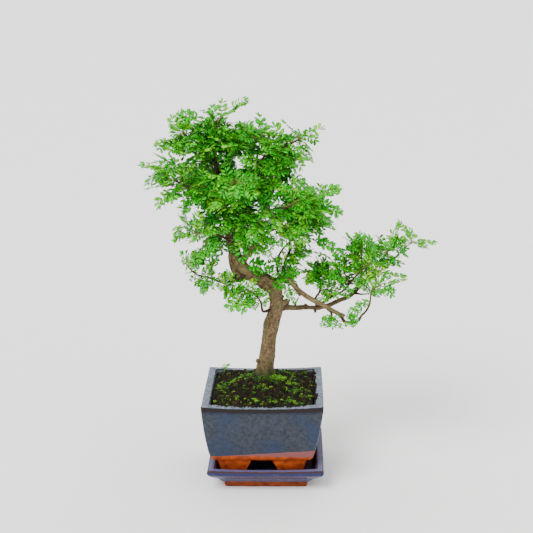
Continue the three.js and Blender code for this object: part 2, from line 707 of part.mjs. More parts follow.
// Every shoot's stem is grown first, then leaf after leaf is added where it stays clear of all other shoots
function shoots(woodGuard) {
  const plans = SHOOTS.map((shoot, i) => shootPlan(shoot, SEEDS.first + SEEDS.step * i));
  const wood = { body: woodGuard, box: woodGuard.boundingBox() };
  const grown = plans.map((plan) => {
    const body = seatedStem(plan.stem, wood);
    return [{ body, box: body.boundingBox() }];
  });
  plans.forEach((plan, i) => {
    for (const place of plan.places) {
      const others = [wood, ...grown.flatMap((parts, k) => (k === i ? parts.slice(1) : parts))];
      const choices = SHORTER.flatMap((shorter) => ROLLS.map((roll) => turned(place, roll, shorter)));
      const clear = choices.find((choice) => !meets(leafBlade(choice, LEAF.guard), others));
      if (clear) {
        const body = leafBlade(clear);
        grown[i].push({ body, box: body.boundingBox() });
      }
    }
  });
  return grown.map((parts) => wasm.Manifold.union(parts.map((part) => part.body)));
}

// The whole object
const object = new THREE.Group();
const wood = allWood();
const woodGuard = allWood(SEAT_GAP);

object.add(named('saucer', saucer(), SAUCER_GLAZE));

const potted = new THREE.Group();
potted.position.x = POT_CENTRE_X;
potted.add(named('pot', pot(), GLAZE));
potted.add(named('drain_mesh', drainMesh(), NET_PLASTIC));
const trunkHole = limb(WOOD.trunk, SEAT_GAP).translate([-POT_CENTRE_X, 0, 0]);
potted.add(named('soil', geometryOf(largest(soil().subtract(trunkHole))), DARK_SOIL));
object.add(potted);

object.add(named('wood', geometryOf(wood), BARK));
shoots(woodGuard).forEach((body, i) => {
  object.add(named(`shoot_${String(i + 1).padStart(2, '0')}`, geometryOf(body), LEAF_GREEN));
});

export default object;
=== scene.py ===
"""Japanese pepper bonsai in a square glazed pot on its saucer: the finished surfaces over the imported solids.

Sizes are in millimetres in the frame of the solids (+Z up, front towards -Y, origin in the middle of the
saucer's underside) and become metres where a mesh is made.
"""

import logging
import math
from dataclasses import dataclass, field
from enum import Enum
from functools import cached_property
from typing import Sequence

import bmesh
import bpy
import numpy as np
from mathutils import Matrix


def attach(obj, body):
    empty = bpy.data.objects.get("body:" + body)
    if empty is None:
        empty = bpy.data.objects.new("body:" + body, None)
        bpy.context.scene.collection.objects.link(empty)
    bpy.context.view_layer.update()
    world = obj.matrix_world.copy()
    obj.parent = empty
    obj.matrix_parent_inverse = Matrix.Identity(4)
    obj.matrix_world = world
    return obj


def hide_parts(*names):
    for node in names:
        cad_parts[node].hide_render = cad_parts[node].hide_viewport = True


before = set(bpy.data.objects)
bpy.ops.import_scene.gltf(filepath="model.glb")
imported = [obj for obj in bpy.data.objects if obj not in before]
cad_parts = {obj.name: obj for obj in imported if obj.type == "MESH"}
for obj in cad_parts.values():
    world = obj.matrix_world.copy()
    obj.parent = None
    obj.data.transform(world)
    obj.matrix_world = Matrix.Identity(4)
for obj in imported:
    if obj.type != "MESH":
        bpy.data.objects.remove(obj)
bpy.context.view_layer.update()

Array = np.ndarray
Socket = bpy.types.NodeSocket
MM = 0.001
BODY = "root"
LOG = logging.getLogger("bonsai")


# Numbers and surfaces


def linear(code: str) -> tuple[float, float, float, float]:
    """Turns an sRGB hex colour into the linear colour that shaders take.

    Args:
        code: the colour as #rrggbb.

    Returns:
        Linear red, green and blue, and an alpha of 1.
    """
    part = np.array([int(code[i : i + 2], 16) for i in (1, 3, 5)]) / 255
    lin = np.where(part <= 0.04045, part / 12.92, ((part + 0.055) / 1.055) ** 2.4)
    return (*lin.tolist(), 1.0)


def unit(vectors: Array) -> Array:
    """Vectors of length one along the last axis."""
    return vectors / np.maximum(np.linalg.norm(vectors, axis=-1, keepdims=True), 1e-9)


def squared(vectors: Array, axis: Array) -> Array:
    """Unit vectors square to axis: each vector less its share along axis, made length one."""
    return unit(vectors - (vectors * axis).sum(-1, keepdims=True) * axis)


def spun(vectors: Array, axis: Array, angle: Array) -> Array:
    """Turns vectors about an axis by the right-hand rule.

    The formula is v cos a + (k x v) sin a + k (k . v)(1 - cos a), with k the unit axis.

    Args:
        vectors: what is turned, (..., 3).
        axis: unit axes, (..., 3).
        angle: radians, (...).

    Returns:
        The turned vectors.
    """
    c, s = np.cos(angle)[..., None], np.sin(angle)[..., None]
    along = (vectors * axis).sum(-1, keepdims=True)
    return vectors * c + np.cross(axis, vectors) * s + axis * along * (1 - c)


def circle(angle: Array) -> Array:
    """Points of the circle of radius one at angles, (..., 2)."""
    return np.stack([np.cos(angle), np.sin(angle)], -1)


def bent(start: Array, pull: Array, end: Array, t: Array | float) -> Array:
    """The quadratic curve (1 - t)^2 start + 2 t (1 - t) pull + t^2 end."""
    return start * (1 - t) ** 2 + pull * 2 * t * (1 - t) + end * t**2


def travelled(line: Array) -> Array:
    """Distance from a line's start to each of its points."""
    return np.concatenate([[0], np.cumsum(np.linalg.norm(np.diff(line, axis=0), axis=1))])


def value_noise(points: Array, cell: float, seed: int) -> Array:
    """Smooth random heights from -1 to 1.

    Each corner of a cubic lattice gets a hashed value, and the eight round a point are blended by
    3t^2 - 2t^3 along each axis.

    Args:
        points: places in mm, (..., 3).
        cell: lattice spacing in mm.
        seed: picks the pattern.

    Returns:
        One height for each point.
    """
    scaled = points / cell + seed * 7.31
    base = np.floor(scaled).astype(np.int64)
    part = scaled - base
    blend = part * part * (3 - 2 * part)
    total = np.zeros(points.shape[:-1])
    for corner in np.ndindex(2, 2, 2):
        at = base + np.array(corner)
        mixed = at[..., 0] * 73856093 ^ at[..., 1] * 19349663 ^ at[..., 2] * 83492791 ^ seed * 9176
        mixed = (mixed ^ (mixed >> 13)) * 1274126177
        height = ((mixed ^ (mixed >> 16)) & 0xFFFF) / 32767.5 - 1
        total += height * np.prod(np.where(corner, blend, 1 - blend), axis=-1)
    return total


def rough(points: Array, cell: float, seed: int, octaves: int = 3) -> Array:
    """Noise of several sizes added: each next one has half the cell and half the height."""
    return sum(value_noise(points, cell / 2**k, seed + k) / 2**k for k in range(octaves))


def grid_faces(rows: int, cols: int, close_rows: bool = False, close_cols: bool = False) -> Array:
    """Quads of a grid of points that is stored row after row.

    Args:
        rows: number of rows.
        cols: points in a row.
        close_rows: the last row joins the first.
        close_cols: the last point of each row joins its first.

    Returns:
        Four point numbers for each quad.
    """
    r = np.arange(rows if close_rows else rows - 1)[:, None]
    c = np.arange(cols if close_cols else cols - 1)[None, :]
    r2, c2 = (r + 1) % rows, (c + 1) % cols
    return np.stack([r * cols + c, r * cols + c2, r2 * cols + c2, r2 * cols + c], -1).reshape(-1, 4)


def capped(rows: int, cols: int, inside_out: bool = False) -> list[Array]:
    """Faces of a tube of rings with a flat face at either end.

    Args:
        rows: number of rings.
        cols: points in a ring.
        inside_out: turns every face round.

    Returns:
        The quads, the first ring's face and the last one's.
    """
    loop = np.arange(cols)[None]
    faces = [grid_faces(rows, cols, False, True), loop[:, ::-1], loop + (rows - 1) * cols]
    return [f[:, ::-1] for f in faces] if inside_out else faces


def copied(faces: Array, points: int, times: int) -> Array:
    """The faces of a shape of so many points, numbered for each of its copies."""
    return (faces + points * np.arange(times)[:, None, None]).reshape(-1, faces.shape[1])


@dataclass
class Shell:
    """Part of a piece: points, faces and what its finish needs to know at each point.

    Attributes:
        points: places in mm, (N, 3).
        faces: arrays of point numbers, one array for each number of sides.
        tint: a number for each point that the finish turns into colour.
        spot: pattern coordinates in mm that follow the surface, (N, 3).
        finish: which of the piece's materials it wears.
    """

    points: Array
    faces: list[Array]
    tint: Array | float = 0.0
    spot: Array | None = None
    finish: int = 0


def put(
    name: str, shells: Sequence[Shell], finishes: Sequence[bpy.types.Material],
    stands_for: Sequence[str] = (),
) -> None:
    """Makes one piece of the object from shells and hangs it on the frame.

    Args:
        name: the piece's name.
        shells: its parts.
        finishes: its materials.
        stands_for: the solids that it replaces.
    """
    starts = np.cumsum([0] + [len(s.points) for s in shells])
    points = np.concatenate([s.points for s in shells]) * MM
    groups = [(f + at, s.finish) for s, at in zip(shells, starts) for f in s.faces if len(f)]
    corners = np.concatenate([f.ravel() for f, _ in groups]).astype(np.int32)
    sides = np.concatenate([np.full(len(f), f.shape[1]) for f, _ in groups]).astype(np.int32)
    wears = np.concatenate([np.full(len(f), k) for f, k in groups]).astype(np.int32)
    mesh = bpy.data.meshes.new(name)
    mesh.vertices.add(len(points))
    mesh.vertices.foreach_set("co", points.astype(np.float32).ravel())
    mesh.loops.add(len(corners))
    mesh.loops.foreach_set("vertex_index", corners)
    mesh.polygons.add(len(sides))
    mesh.polygons.foreach_set("loop_start", np.concatenate([[0], np.cumsum(sides)[:-1]]).astype(np.int32))
    mesh.polygons.foreach_set("loop_total", sides)
    mesh.polygons.foreach_set("material_index", wears)
    mesh.update(calc_edges=True)
    mesh.validate()
    mesh.shade_smooth()
    tint = np.concatenate([np.broadcast_to(s.tint, len(s.points)) for s in shells])
    spot = np.concatenate([s.points if s.spot is None else s.spot for s in shells])
    mesh.attributes.new("tint", "FLOAT", "POINT").data.foreach_set("value", tint.astype(np.float32))
    mesh.attributes.new("spot", "FLOAT_VECTOR", "POINT").data.foreach_set("vector", spot.astype(np.float32).ravel())
    for finish in finishes:
        mesh.materials.append(finish)
    piece = bpy.data.objects.new(name, mesh)
    bpy.context.scene.collection.objects.link(piece)
    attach(piece, BODY)
    if stands_for:
        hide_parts(*stands_for)
    LOG.info("%s: %d faces", name, len(sides))


# Shading


class Shader:
    """A material's node tree. Each method adds nodes and gives back one output socket."""

    def __init__(self, name: str) -> None:
        """Starts an empty material called name."""
        self.material = bpy.data.materials.new(name)
        self.material.use_nodes = True
        self.tree = self.material.node_tree
        self.tree.nodes.clear()

    def add(
        self, kind: str, wires: dict[int | str, object] | None = None, out: int | str = 0, **settings: object
    ) -> Socket:
        """Adds one node with its settings and links.

        Args:
            kind: the node's type without its prefix.
            wires: input name or number, and the value it holds or the socket it is linked to.
            out: the output to give back.
            settings: the node's own properties.

        Returns:
            The chosen output socket.
        """
        made = self.tree.nodes.new("ShaderNode" + kind)
        for key, value in settings.items():
            setattr(made, key, value)
        for key, value in (wires or {}).items():
            if isinstance(value, Socket):
                self.tree.links.new(value, made.inputs[key])
            else:
                made.inputs[key].default_value = value
        return made.outputs[out] if len(made.outputs) else made.inputs[0]

    @cached_property
    def place(self) -> Socket:
        """Object coordinates, in metres."""
        return self.add("TexCoord", out="Object")

    @cached_property
    def spot(self) -> Socket:
        """The piece's own pattern coordinates."""
        return self.add("Attribute", out="Vector", attribute_name="spot")

    @cached_property
    def tint(self) -> Socket:
        """The number that each point carries for its colour."""
        return self.add("Attribute", out="Fac", attribute_name="tint")

    def part(self, vector: Socket, axis: str) -> Socket:
        """One coordinate of a vector."""
        return self.add("SeparateXYZ", {0: vector}, out=axis)

    def scaled(self, vector: Socket, by: tuple[float, float, float]) -> Socket:
        """A vector times a scale for each axis, which draws a pattern out."""
        return self.add("VectorMath", {0: vector, 1: by}, operation="MULTIPLY")

    def noise(self, vector: Socket, scale: float, detail: float = 2.0, roughness: float = 0.5) -> Socket:
        """Cloudy noise."""
        return self.add("TexNoise", {"Vector": vector, "Scale": scale, "Detail": detail, "Roughness": roughness})

    def maths(self, operation: str, *values: Socket | float, clamp: bool = False) -> Socket:
        """A sum on numbers, kept from 0 to 1 where clamp says so."""
        return self.add("Math", dict(enumerate(values)), operation=operation, use_clamp=clamp)

    def ranged(self, value: Socket, low: float, high: float, start: float = 0.0, end: float = 1.0) -> Socket:
        """Carries the stretch from low to high over to start to end, and holds it there."""
        return self.add("MapRange", {0: value, 1: low, 2: high, 3: start, 4: end})

    def toned(self, cloud: Socket, reach: float) -> Socket:
        """The tint, from 0 to 1, made up to reach more or less by a cloud of noise."""
        return self.maths("ADD", self.tint, self.ranged(cloud, 0.3, 0.7, -reach, reach), clamp=True)

    def even(self, share: Socket | float, first: Socket, second: Socket) -> Socket:
        """A number between first and second."""
        return self.add("Mix", {0: share, 2: first, 3: second})

    def ramp(self, value: Socket, *stops: tuple[float, str]) -> Socket:
        """A colour ramp through sRGB colours at places from 0 to 1."""
        colour = self.add("ValToRGB", {0: value})
        elements = colour.node.color_ramp.elements
        for i, (place, code) in enumerate(stops):
            stop = elements[i] if i < 2 else elements.new(place)
            stop.position, stop.color = place, linear(code)
        return colour

    def laid(self, base: Socket, *layers: tuple[Socket, Socket | str]) -> Socket:
        """Lays colours over base in turn, each by its share."""
        for share, over in layers:
            top = over if isinstance(over, Socket) else linear(over)
            base = self.add("Mix", {0: share, 6: base, 7: top}, out=2, data_type="RGBA")
        return base

    def close(
        self, colour: Socket, bump: Socket, depth: float, roughness: Socket | float, ior: float = 1.5,
        specular: float = 0.5,
    ) -> bpy.types.Material:
        """Ends the tree in one surface.

        Args:
            colour: the base colour.
            bump: the relief, from 0 to 1.
            depth: the height in mm that 1 stands for.
            roughness: from 0 glossy to 1 matt.
            ior: the index of refraction.
            specular: strength of the gloss seen head on.

        Returns:
            The finished material.
        """
        normal = self.add("Bump", {"Height": bump, "Distance": depth * MM, "Strength": 1.0})
        wires = {"Base Color": colour, "Normal": normal, "Roughness": roughness, "IOR": ior}
        surface = self.add("BsdfPrincipled", {**wires, "Specular IOR Level": specular})
        self.add("OutputMaterial", {"Surface": surface})
        return self.material


def per(size: float) -> float:
    """Scale of a pattern whose features are size mm apart, on coordinates in metres."""
    return 1 / (size * MM)


@dataclass(frozen=True)
class StonewareGlaze:
    """Reduction-fired glaze dipped over red clay: glossy, mottled, thin and brown where it breaks on an edge.

    Attributes:
        name: the material's name.
        low: darkest colour of the mottling.
        high: lightest colour of the mottling.
        tinge: colour of the broad cloudy tinge.
        rim: colour on the flat rim, lighter than the sides as a painted highlight where the top faces the light; the
            pale specks take it too.
        pool: colour of the thick runs below the rim.
        edge: colour where the glaze breaks thin.
        inside: colour inside the vessel; on the saucer it is nearly black, painted shade under the pot and within its
            walls.
        clay_top: height in mm at which the glaze ends in the middle, and that line's rise a mm along X.
        halo: height in mm down to which the bare clay blushes pink in the middle, and that line's rise.
        edges: where edges break brown, as a profile distance in mm and the widest reach to either side.
        rim_span: profile distances in mm between which the rim lies.
        clay: colour of the bare clay.
        clay_dark: its darker patches.
        blush: colour of the pink band.
        rust: colour of the iron specks.
        pool_depth: how far below the rim the thick glaze reaches, in mm.
        wave: how far its lower edge wanders up and down, in mm.
    """

    name: str
    low: str
    high: str
    tinge: str
    rim: str
    pool: str
    edge: str
    inside: str
    clay_top: tuple[float, float]
    halo: tuple[float, float]
    edges: tuple[tuple[float, float], ...]
    rim_span: tuple[float, float]
    clay: str = "#a8450e"
    clay_dark: str = "#712b07"
    blush: str = "#764646"
    rust: str = "#57402f"
    pool_depth: float = 8.5
    wave: float = 3.0

    def body(self, s: Shader, along: Socket, mottle: Socket) -> Socket:
        """The glaze's colour.

        Args:
            s: the material's tree.
            along: distance along the vessel's profile.
            mottle: the fine mottling.

        Returns:
            The colour of all that is glazed.
        """
        cloud, fleck = s.noise(s.place, per(38)), s.noise(s.place, per(1.3), 2.0, 0.6)
        streak = s.noise(s.scaled(s.spot, (1 / 1.8, 1 / 14, 1.0)), 1.0, 3.0)
        start, end = self.rim_span
        # Thick glaze pools in a band below the rim, deepest in cloudy stretches 16 mm long.
        runs = s.noise(s.scaled(s.spot, (1 / 16, 1 / 30, 1.0)), 1.0, 4.0, 0.65)
        pooled = s.maths("SUBTRACT", along, s.ranged(runs, 0.38, 0.68, start - 4, start - self.pool_depth))
        body = s.laid(
            s.ramp(mottle, (0.32, self.low), (0.7, self.high)),
            (s.ranged(cloud, 0.48, 0.72, end=0.75), self.tinge),
            (s.ranged(streak, 0.45, 0.75, end=0.45), self.low),
            (s.ranged(fleck, 0.64, 0.7, end=0.75), self.rust),
            (s.ranged(fleck, 0.3, 0.24, end=0.45), self.rim),
            (s.ranged(pooled, -2.5, 2.5, end=0.93), self.pool),
            # The flat rim is painted lighter than the sides: a painted highlight on the top that faces the light.
            (s.ranged(along, start - 0.3, start + 0.8), s.ramp(mottle, (0.3, self.high), (0.62, self.rim))),
            # Inside the vessel the colour changes; on the saucer it is nearly black as painted shade under the pot.
            (s.ranged(along, end + 0.5, end + 3), self.inside),
        )
        wander = s.noise(s.spot, 0.22)
        for at, width in self.edges:
            away = s.maths("ABSOLUTE", s.maths("SUBTRACT", along, at))
            away = s.maths("DIVIDE", away, s.ranged(wander, 0.3, 0.7, 0.35 * width, width))
            body = s.laid(body, (s.ranged(away, 1.25, 0.65, end=0.92), self.edge))
        return body

    def material(self) -> bpy.types.Material:
        """Mottling of 5 mm, specks of 1.3 mm, and bare clay with a grain of 0.9 mm below a wavy line."""
        s = Shader(self.name)
        x, z = (s.part(s.place, k) for k in "XZ")
        mottle, wave = s.noise(s.place, per(5), 6.0, 0.7), s.noise(s.place, per(22))

        def above(line: tuple[float, float], low: float, high: float) -> Socket:
            """0 under a wavy line that rises with X and 1 over it, from low to high mm past its height."""
            height, slope = line
            over = s.maths("MULTIPLY_ADD", wave, self.wave * MM, s.maths("MULTIPLY_ADD", x, -slope, z))
            return s.ranged(over, (height + low) * MM, (height + high) * MM)

        glazed, blushed = above(self.clay_top, 1.2, 1.7), above(self.halo, 0.8, 2.4)
        grain, stain = s.noise(s.place, per(0.9), 4.0), s.noise(s.place, per(9), 3.0)
        clay = s.laid(s.ramp(stain, (0.35, self.clay_dark), (0.62, self.clay)), (blushed, self.blush))
        colour = s.laid(clay, (glazed, self.body(s, s.part(s.spot, "Y"), mottle)))
        relief = s.even(glazed, grain, s.maths("MULTIPLY", mottle, 0.35))
        return s.close(colour, relief, 0.25, s.ranged(glazed, 0, 1, 0.78, 0.22), 1.36, 0.36)


@dataclass(frozen=True)
class Bark:
    """Living bark, ridged and scarred by growth: dull, tan on old wood and purple-brown on thin twigs."""

    name: str = "rough_living_bark"
    old: str = "#8c7552"
    old_mid: str = "#5a482d"
    old_dark: str = "#171009"
    lichen: str = "#6e6c44"
    stain: str = "#27330c"
    young: str = "#48301f"
    young_dark: str = "#1c110f"
    sprout: str = "#566018"

    def material(self) -> bpy.types.Material:
        """Fissures 1.6 mm apart run along the limb and wrinkles of 4 mm across it, with damp green round the foot.

        tint 0 is old, 1 a twig and 2 green.
        """
        s = Shader(self.name)
        fissure = s.noise(s.scaled(s.spot, (1.0, 1.0, 0.3)), 0.62, 6.0, 0.68)
        wrinkle = s.noise(s.scaled(s.spot, (0.3, 0.3, 1.0)), 0.45, 4.0, 0.6)
        patch, both = s.noise(s.place, per(14), 3.0), s.even(0.34, fissure, wrinkle)
        height = s.part(s.place, "Z")
        damp = s.maths("MULTIPLY_ADD", patch, -0.03, height)
        tan = s.laid(
            s.ramp(both, (0.36, self.old_dark), (0.48, self.old_mid), (0.62, self.old)),
            (s.ranged(patch, 0.5, 0.68, end=0.55), self.lichen),
            (s.ranged(height, 0.21, 0.15, end=0.24), self.old_mid),
            (s.ranged(damp, 0.13, 0.115, end=0.92), self.stain),
        )
        dark = s.ramp(both, (0.36, self.young_dark), (0.62, self.young))
        colour = s.laid(tan, (s.tint, dark), (s.ranged(s.tint, 1.0, 2.0), self.sprout))
        return s.close(colour, both, 1.9, 0.85, 1.4)


@dataclass(frozen=True)
class LeafSkin:
    """Waxy leaf skin: a smooth glossy sheet with a paler rib and fine side veins."""

    name: str = "waxy_green_leaf"
    dark: str = "#058602"
    mid: str = "#129f01"
    bright: str = "#4cc002"
    fresh: str = "#acdc0a"
    vein: str = "#74c01c"

    def material(self) -> bpy.types.Material:
        """tint 0 is an old dark leaf and 1 new growth; spot holds the place along and across a leaflet."""
        s = Shader(self.name)
        u, v = (s.part(s.spot, k) for k in "XY")
        age = s.toned(s.noise(s.place, per(7)), 0.1)
        colour = s.ramp(age, (0.0, self.dark), (0.3, self.mid), (0.62, self.bright), (1.0, self.fresh))
        side = s.maths("ABSOLUTE", v)
        # Side veins leave the rib at a slant, eight to a leaflet.
        slant = s.maths("MULTIPLY", s.maths("MULTIPLY_ADD", side, -0.32, u), 50.0)
        vein = s.ranged(s.maths("SINE", slant), 0.7, 1.0, end=0.35)
        lines = s.maths("MAXIMUM", s.ranged(side, 0.17, 0.04), vein)
        colour = s.laid(colour, (s.maths("MULTIPLY", lines, 0.2), self.vein))
        return s.close(colour, s.maths("SUBTRACT", 1.0, lines), 0.12, 0.26, 1.43)


@dataclass(frozen=True)
class GreenStem:
    """Young stem and leaf rib: smooth and green, turning brown with age."""

    name: str = "young_green_stem"
    green: str = "#6d9420"
    brown: str = "#4f3a1e"

    def material(self) -> bpy.types.Material:
        """tint 0 is green and 1 brown, under a fine streak of 1.5 mm."""
        s = Shader(self.name)
        streak = s.noise(s.place, per(1.5), 3.0)
        colour = s.ramp(s.toned(streak, 0.25), (0.1, self.green), (0.9, self.brown))
        return s.close(colour, streak, 0.1, 0.55, 1.45)


@dataclass(frozen=True)
class PottingSoil:
    """Damp peat with grit: almost black crumbs with red-brown fibres and a green film, and no shine."""

    name: str = "damp_crumbly_soil"
    dark: str = "#070503"
    mid: str = "#170f08"
    light: str = "#553c20"
    algae: str = "#1c2f06"

    def material(self) -> bpy.types.Material:
        """Grains of 1.4 mm and clods of 8 mm; tint lightens a crumb."""
        s = Shader(self.name)
        grain, clod = s.noise(s.place, per(1.4), 6.0, 0.72), s.noise(s.place, per(8), 3.0)
        lifted = s.maths("ADD", s.tint, s.even(0.4, grain, clod))
        film = s.ranged(s.noise(s.place, per(6.5), 5.0, 0.7), 0.5, 0.64, end=0.5)
        colour = s.ramp(lifted, (0.34, self.dark), (0.52, self.mid), (0.8, self.light))
        return s.close(s.laid(colour, (film, self.algae)), grain, 1.2, 0.95, 1.3)


@dataclass(frozen=True)
class Moss:
    """Cushion moss: tiny soft leaves, fresh green with yellow tips."""

    name: str = "cushion_moss"
    shade: str = "#0a1402"
    low: str = "#204604"
    high: str = "#479002"
    tip: str = "#8cc808"

    def material(self) -> bpy.types.Material:
        """tint runs from 0 in the shaded depth of a tuft to 1 at its lit yellow-green tips."""
        s = Shader(self.name)
        patch = s.noise(s.place, per(5))
        colour = s.ramp(s.toned(patch, 0.2), (0.0, self.shade), (0.35, self.low), (0.7, self.high), (1.0, self.tip))
        return s.close(colour, patch, 0.1, 0.7)


@dataclass(frozen=True)
class MouldedNet:
    """Injection-moulded polyethylene net: matt and faintly grained."""

    name: str = "moulded_polyethylene_net"
    low: str = "#17191a"
    high: str = "#26292a"

    def material(self) -> bpy.types.Material:
        """A grain of 0.5 mm on a near-black plastic."""
        s = Shader(self.name)
        grain = s.noise(s.place, per(0.5))
        return s.close(s.ramp(grain, (0.3, self.low), (0.7, self.high)), grain, 0.05, 0.6)


# Pot and saucer


@dataclass
class Corner:
    """One corner of a vessel's profile, in mm.

    Attributes:
        half: half width of the vessel there.
        z: height.
        radius: how round the corner is.
        square: 1 where the vessel is square, 0 where it is round as its drain hole.
        lift: how far the vessel's four corners rise above its sides.
    """

    half: float
    z: float
    radius: float = 0.0
    square: float = 1.0
    lift: float = 0.0


@dataclass
class Vessel:
    """A square vessel with bowed sides, made by carrying a profile round a rounded square.

    Attributes:
        corners: the profile.
        bow: how far a side's middle stands out past its ends.
        edge_radius: radius of the four upright edges.
        centre_x: where the vessel's middle lies.
        looped: the profile's end joins its start, round a drain hole.
        lean: how far the lower half sits to the left of the rim.
        lean_span: heights between which the lean grows.
        side_points: points along each side.
        corner_points: points round each upright edge.
        hole: radius of the drain hole.
        step: longest stretch of the profile without a point.
        dent: depth of the hand-made unevenness, and how far apart it comes.
    """

    corners: list[Corner]
    bow: float
    edge_radius: float = 4.0
    centre_x: float = 0.0
    looped: bool = False
    lean: float = 0.0
    lean_span: tuple[float, float] = (110.0, 55.0)
    side_points: int = 30
    corner_points: int = 8
    hole: float = 10.0
    step: float = 4.0
    dent: tuple[float, float] = (0.12, 14.0)

    def profile(self) -> Array:
        """Rounds each corner by a quadratic curve and cuts long stretches into even steps.

        Returns:
            Rows of half width, height, squareness and lift along the profile.
        """
        rows = np.array([[c.half, c.z, c.square, c.lift] for c in self.corners])
        radii = np.array([c.radius for c in self.corners])
        before, after = np.roll(rows, 1, axis=0), np.roll(rows, -1, axis=0)
        if not self.looped:
            before[0], after[-1] = rows[0], rows[-1]
        gap_in = np.linalg.norm((before - rows)[:, :2], axis=1)
        gap_out = np.linalg.norm((after - rows)[:, :2], axis=1)
        reach = np.minimum(radii, 0.45 * np.minimum(gap_in, gap_out))[:, None]
        first = rows + (before - rows) * reach / np.maximum(gap_in, 1e-6)[:, None]
        final = rows + (after - rows) * reach / np.maximum(gap_out, 1e-6)[:, None]
        t = np.linspace(0, 1, 6)[None, :, None]
        bends = bent(first[:, None], rows[:, None], final[:, None], t)
        line: list[Array] = []
        for i, bend in enumerate(bends):
            line.append(bend if reach[i, 0] > 0 else rows[i : i + 1])
            if i + 1 < len(bends) or self.looped:
                start, end = line[-1][-1], bends[(i + 1) % len(bends)][0]
                count = int(np.linalg.norm((end - start)[:2]) // self.step)
                line.append(start + (end - start) * np.linspace(0, 1, count + 2)[1:-1, None])
        return np.concatenate(line)

    def rings(self, rows: Array) -> tuple[Array, Array]:
        """Carries the profile round the vessel.

        Along a side from -1 to 1, a point stands half - bow s^2 out from the middle. The arc at each corner
        starts and ends square to the bowed sides. A row whose squareness is under 1 is drawn towards the
        drain hole's circle.

        Args:
            rows: the profile's rows.

        Returns:
            Points, (rows, around, 3), and the distance round the vessel of each.
        """
        half, z, square, lift = (rows[:, k, None] for k in range(4))
        bow = self.bow * np.minimum(1, half / 45)
        slope = np.arctan(2 * bow / np.maximum(half - bow, 1))
        radius = np.minimum(self.edge_radius, 0.5 * half)
        inset = radius * (np.cos(slope) - np.sin(slope))
        s = np.linspace(-1, 1, self.side_points)[None]
        side = np.stack([half - bow * s * s, s * (half - bow - inset)], -1)
        turn = slope + (math.pi / 2 - 2 * slope) * np.linspace(0, 1, self.corner_points + 2)[None, 1:-1]
        middle = (half - bow - radius * np.cos(slope))[..., None]
        arc = middle + radius[..., None] * circle(turn)
        quarter = np.concatenate([side, arc], 1)
        raised = np.concatenate([np.abs(s) ** 2.6 * lift, np.ones_like(turn) * lift], 1)
        quarter_turn = np.array([[0, 1], [-1, 0]])
        flat = np.concatenate([quarter @ np.linalg.matrix_power(quarter_turn, k) for k in range(4)], 1)
        round_hole = self.hole * circle(np.arctan2(flat[..., 1], flat[..., 0]))
        flat = square[..., None] * flat + (1 - square[..., None]) * round_hole
        height = z + np.tile(raised, 4)
        points = np.concatenate([flat + [self.centre_x, 0], height[..., None]], -1)
        steps = np.linalg.norm(np.diff(flat, axis=1, append=flat[:, :1]), axis=-1)
        return points, np.cumsum(steps, 1)

    def shell(self) -> Shell:
        """The closed surface. spot holds the distances round the vessel and along its profile."""
        rows = self.profile()
        rings, around = self.rings(rows)
        along = np.broadcast_to(travelled(rows[:, :2])[:, None], around.shape)
        size = rings.shape[:2]
        faces = [grid_faces(*size, True, True)] if self.looped else capped(*size)
        spot = np.stack([around, along, np.zeros_like(around)], -1)
        points = rings.reshape(-1, 3)
        high, low = self.lean_span
        points = points - np.clip((high - points[:, 2:]) / (high - low), 0, 1) * [self.lean, 0, 0]
        depth, apart = self.dent
        dents = depth * value_noise(points, apart, 3)
        outward = unit(points * [1, 1, 0] - [self.centre_x, 0, 0])
        return Shell(points + outward * dents[:, None], faces, spot=spot.reshape(-1, 3))

    def distance(self, index: int) -> float:
        """Distance in mm along the profile of one of its corners, where it is nearest."""
        rows, corner = self.profile()[:, :2], self.corners[index]
        return float(travelled(rows)[np.argmin(np.hypot(*(rows - [corner.half, corner.z]).T))])


@dataclass
class Foot:
    """The L-shaped feet: each runs round a corner of the pot between two wedge-shaped gaps.

    Attributes:
        height: heights of the top and of the seat.
        outer: half width across the outside at the top and at the seat.
        inner: half width across the inside at both.
        gap: half width of the gap between two feet at both.
        centre_x: where the middle between the feet lies.
        bow: how far the outside stands out past the corner.
        corner: how far the corner's end stays behind the bow.
    """

    height: tuple[float, float] = (40.0, 21.0)
    outer: tuple[float, float] = (58.0, 53.2)
    inner: tuple[float, float] = (45.0, 41.0)
    gap: tuple[float, float] = (12.3, 21.0)
    centre_x: float = -4.5
    bow: float = 1.9
    corner: float = 1.5

    def shell(self, quarter: int) -> Shell:
        """One foot. Round its section it goes down the outside, under the seat and up the inside.

        Along the foot, t runs from the gap on one side, round the corner, to the gap on the other, and each
        end leans with its gap. Edges are rounded over about 1 mm.

        Args:
            quarter: which corner, counted from the right rear one.

        Returns:
            The closed shell of the foot.
        """
        depth = np.array([0, 0.5, 0.93, 0.98, 1, 1, 1, 0.98, 0.93, 0.5, 0])
        inward = np.array([0, 0, 0, 0.04, 0.12, 0.5, 0.88, 0.96, 1, 1, 1])
        sizes = (self.outer, self.inner, self.height, self.gap)
        outer, inner, z, gap = (top + (seat - top) * depth[None] for top, seat in sizes)
        half = outer + (inner - outer) * inward
        t = np.concatenate([[0, 0.03, 0.1], np.linspace(0.25, 1, 7)])[:, None]
        reach = half - self.bow - self.corner
        away = gap + (reach - gap) * t
        first = np.stack([half - self.bow * away**2 / reach**2, away], -1)
        first[0, :, 0] = first[1, :, 0]
        flat = np.concatenate([first, first[::-1, :, ::-1]])
        for _ in range(quarter):
            flat = np.stack([-flat[..., 1], flat[..., 0]], -1)
        points = np.concatenate([flat + [self.centre_x, 0], np.broadcast_to(z[..., None], (*flat.shape[:2], 1))], -1)
        count = points.shape[0] * points.shape[1]
        return Shell(points.reshape(-1, 3), capped(*points.shape[:2], True), spot=np.zeros((count, 3)))


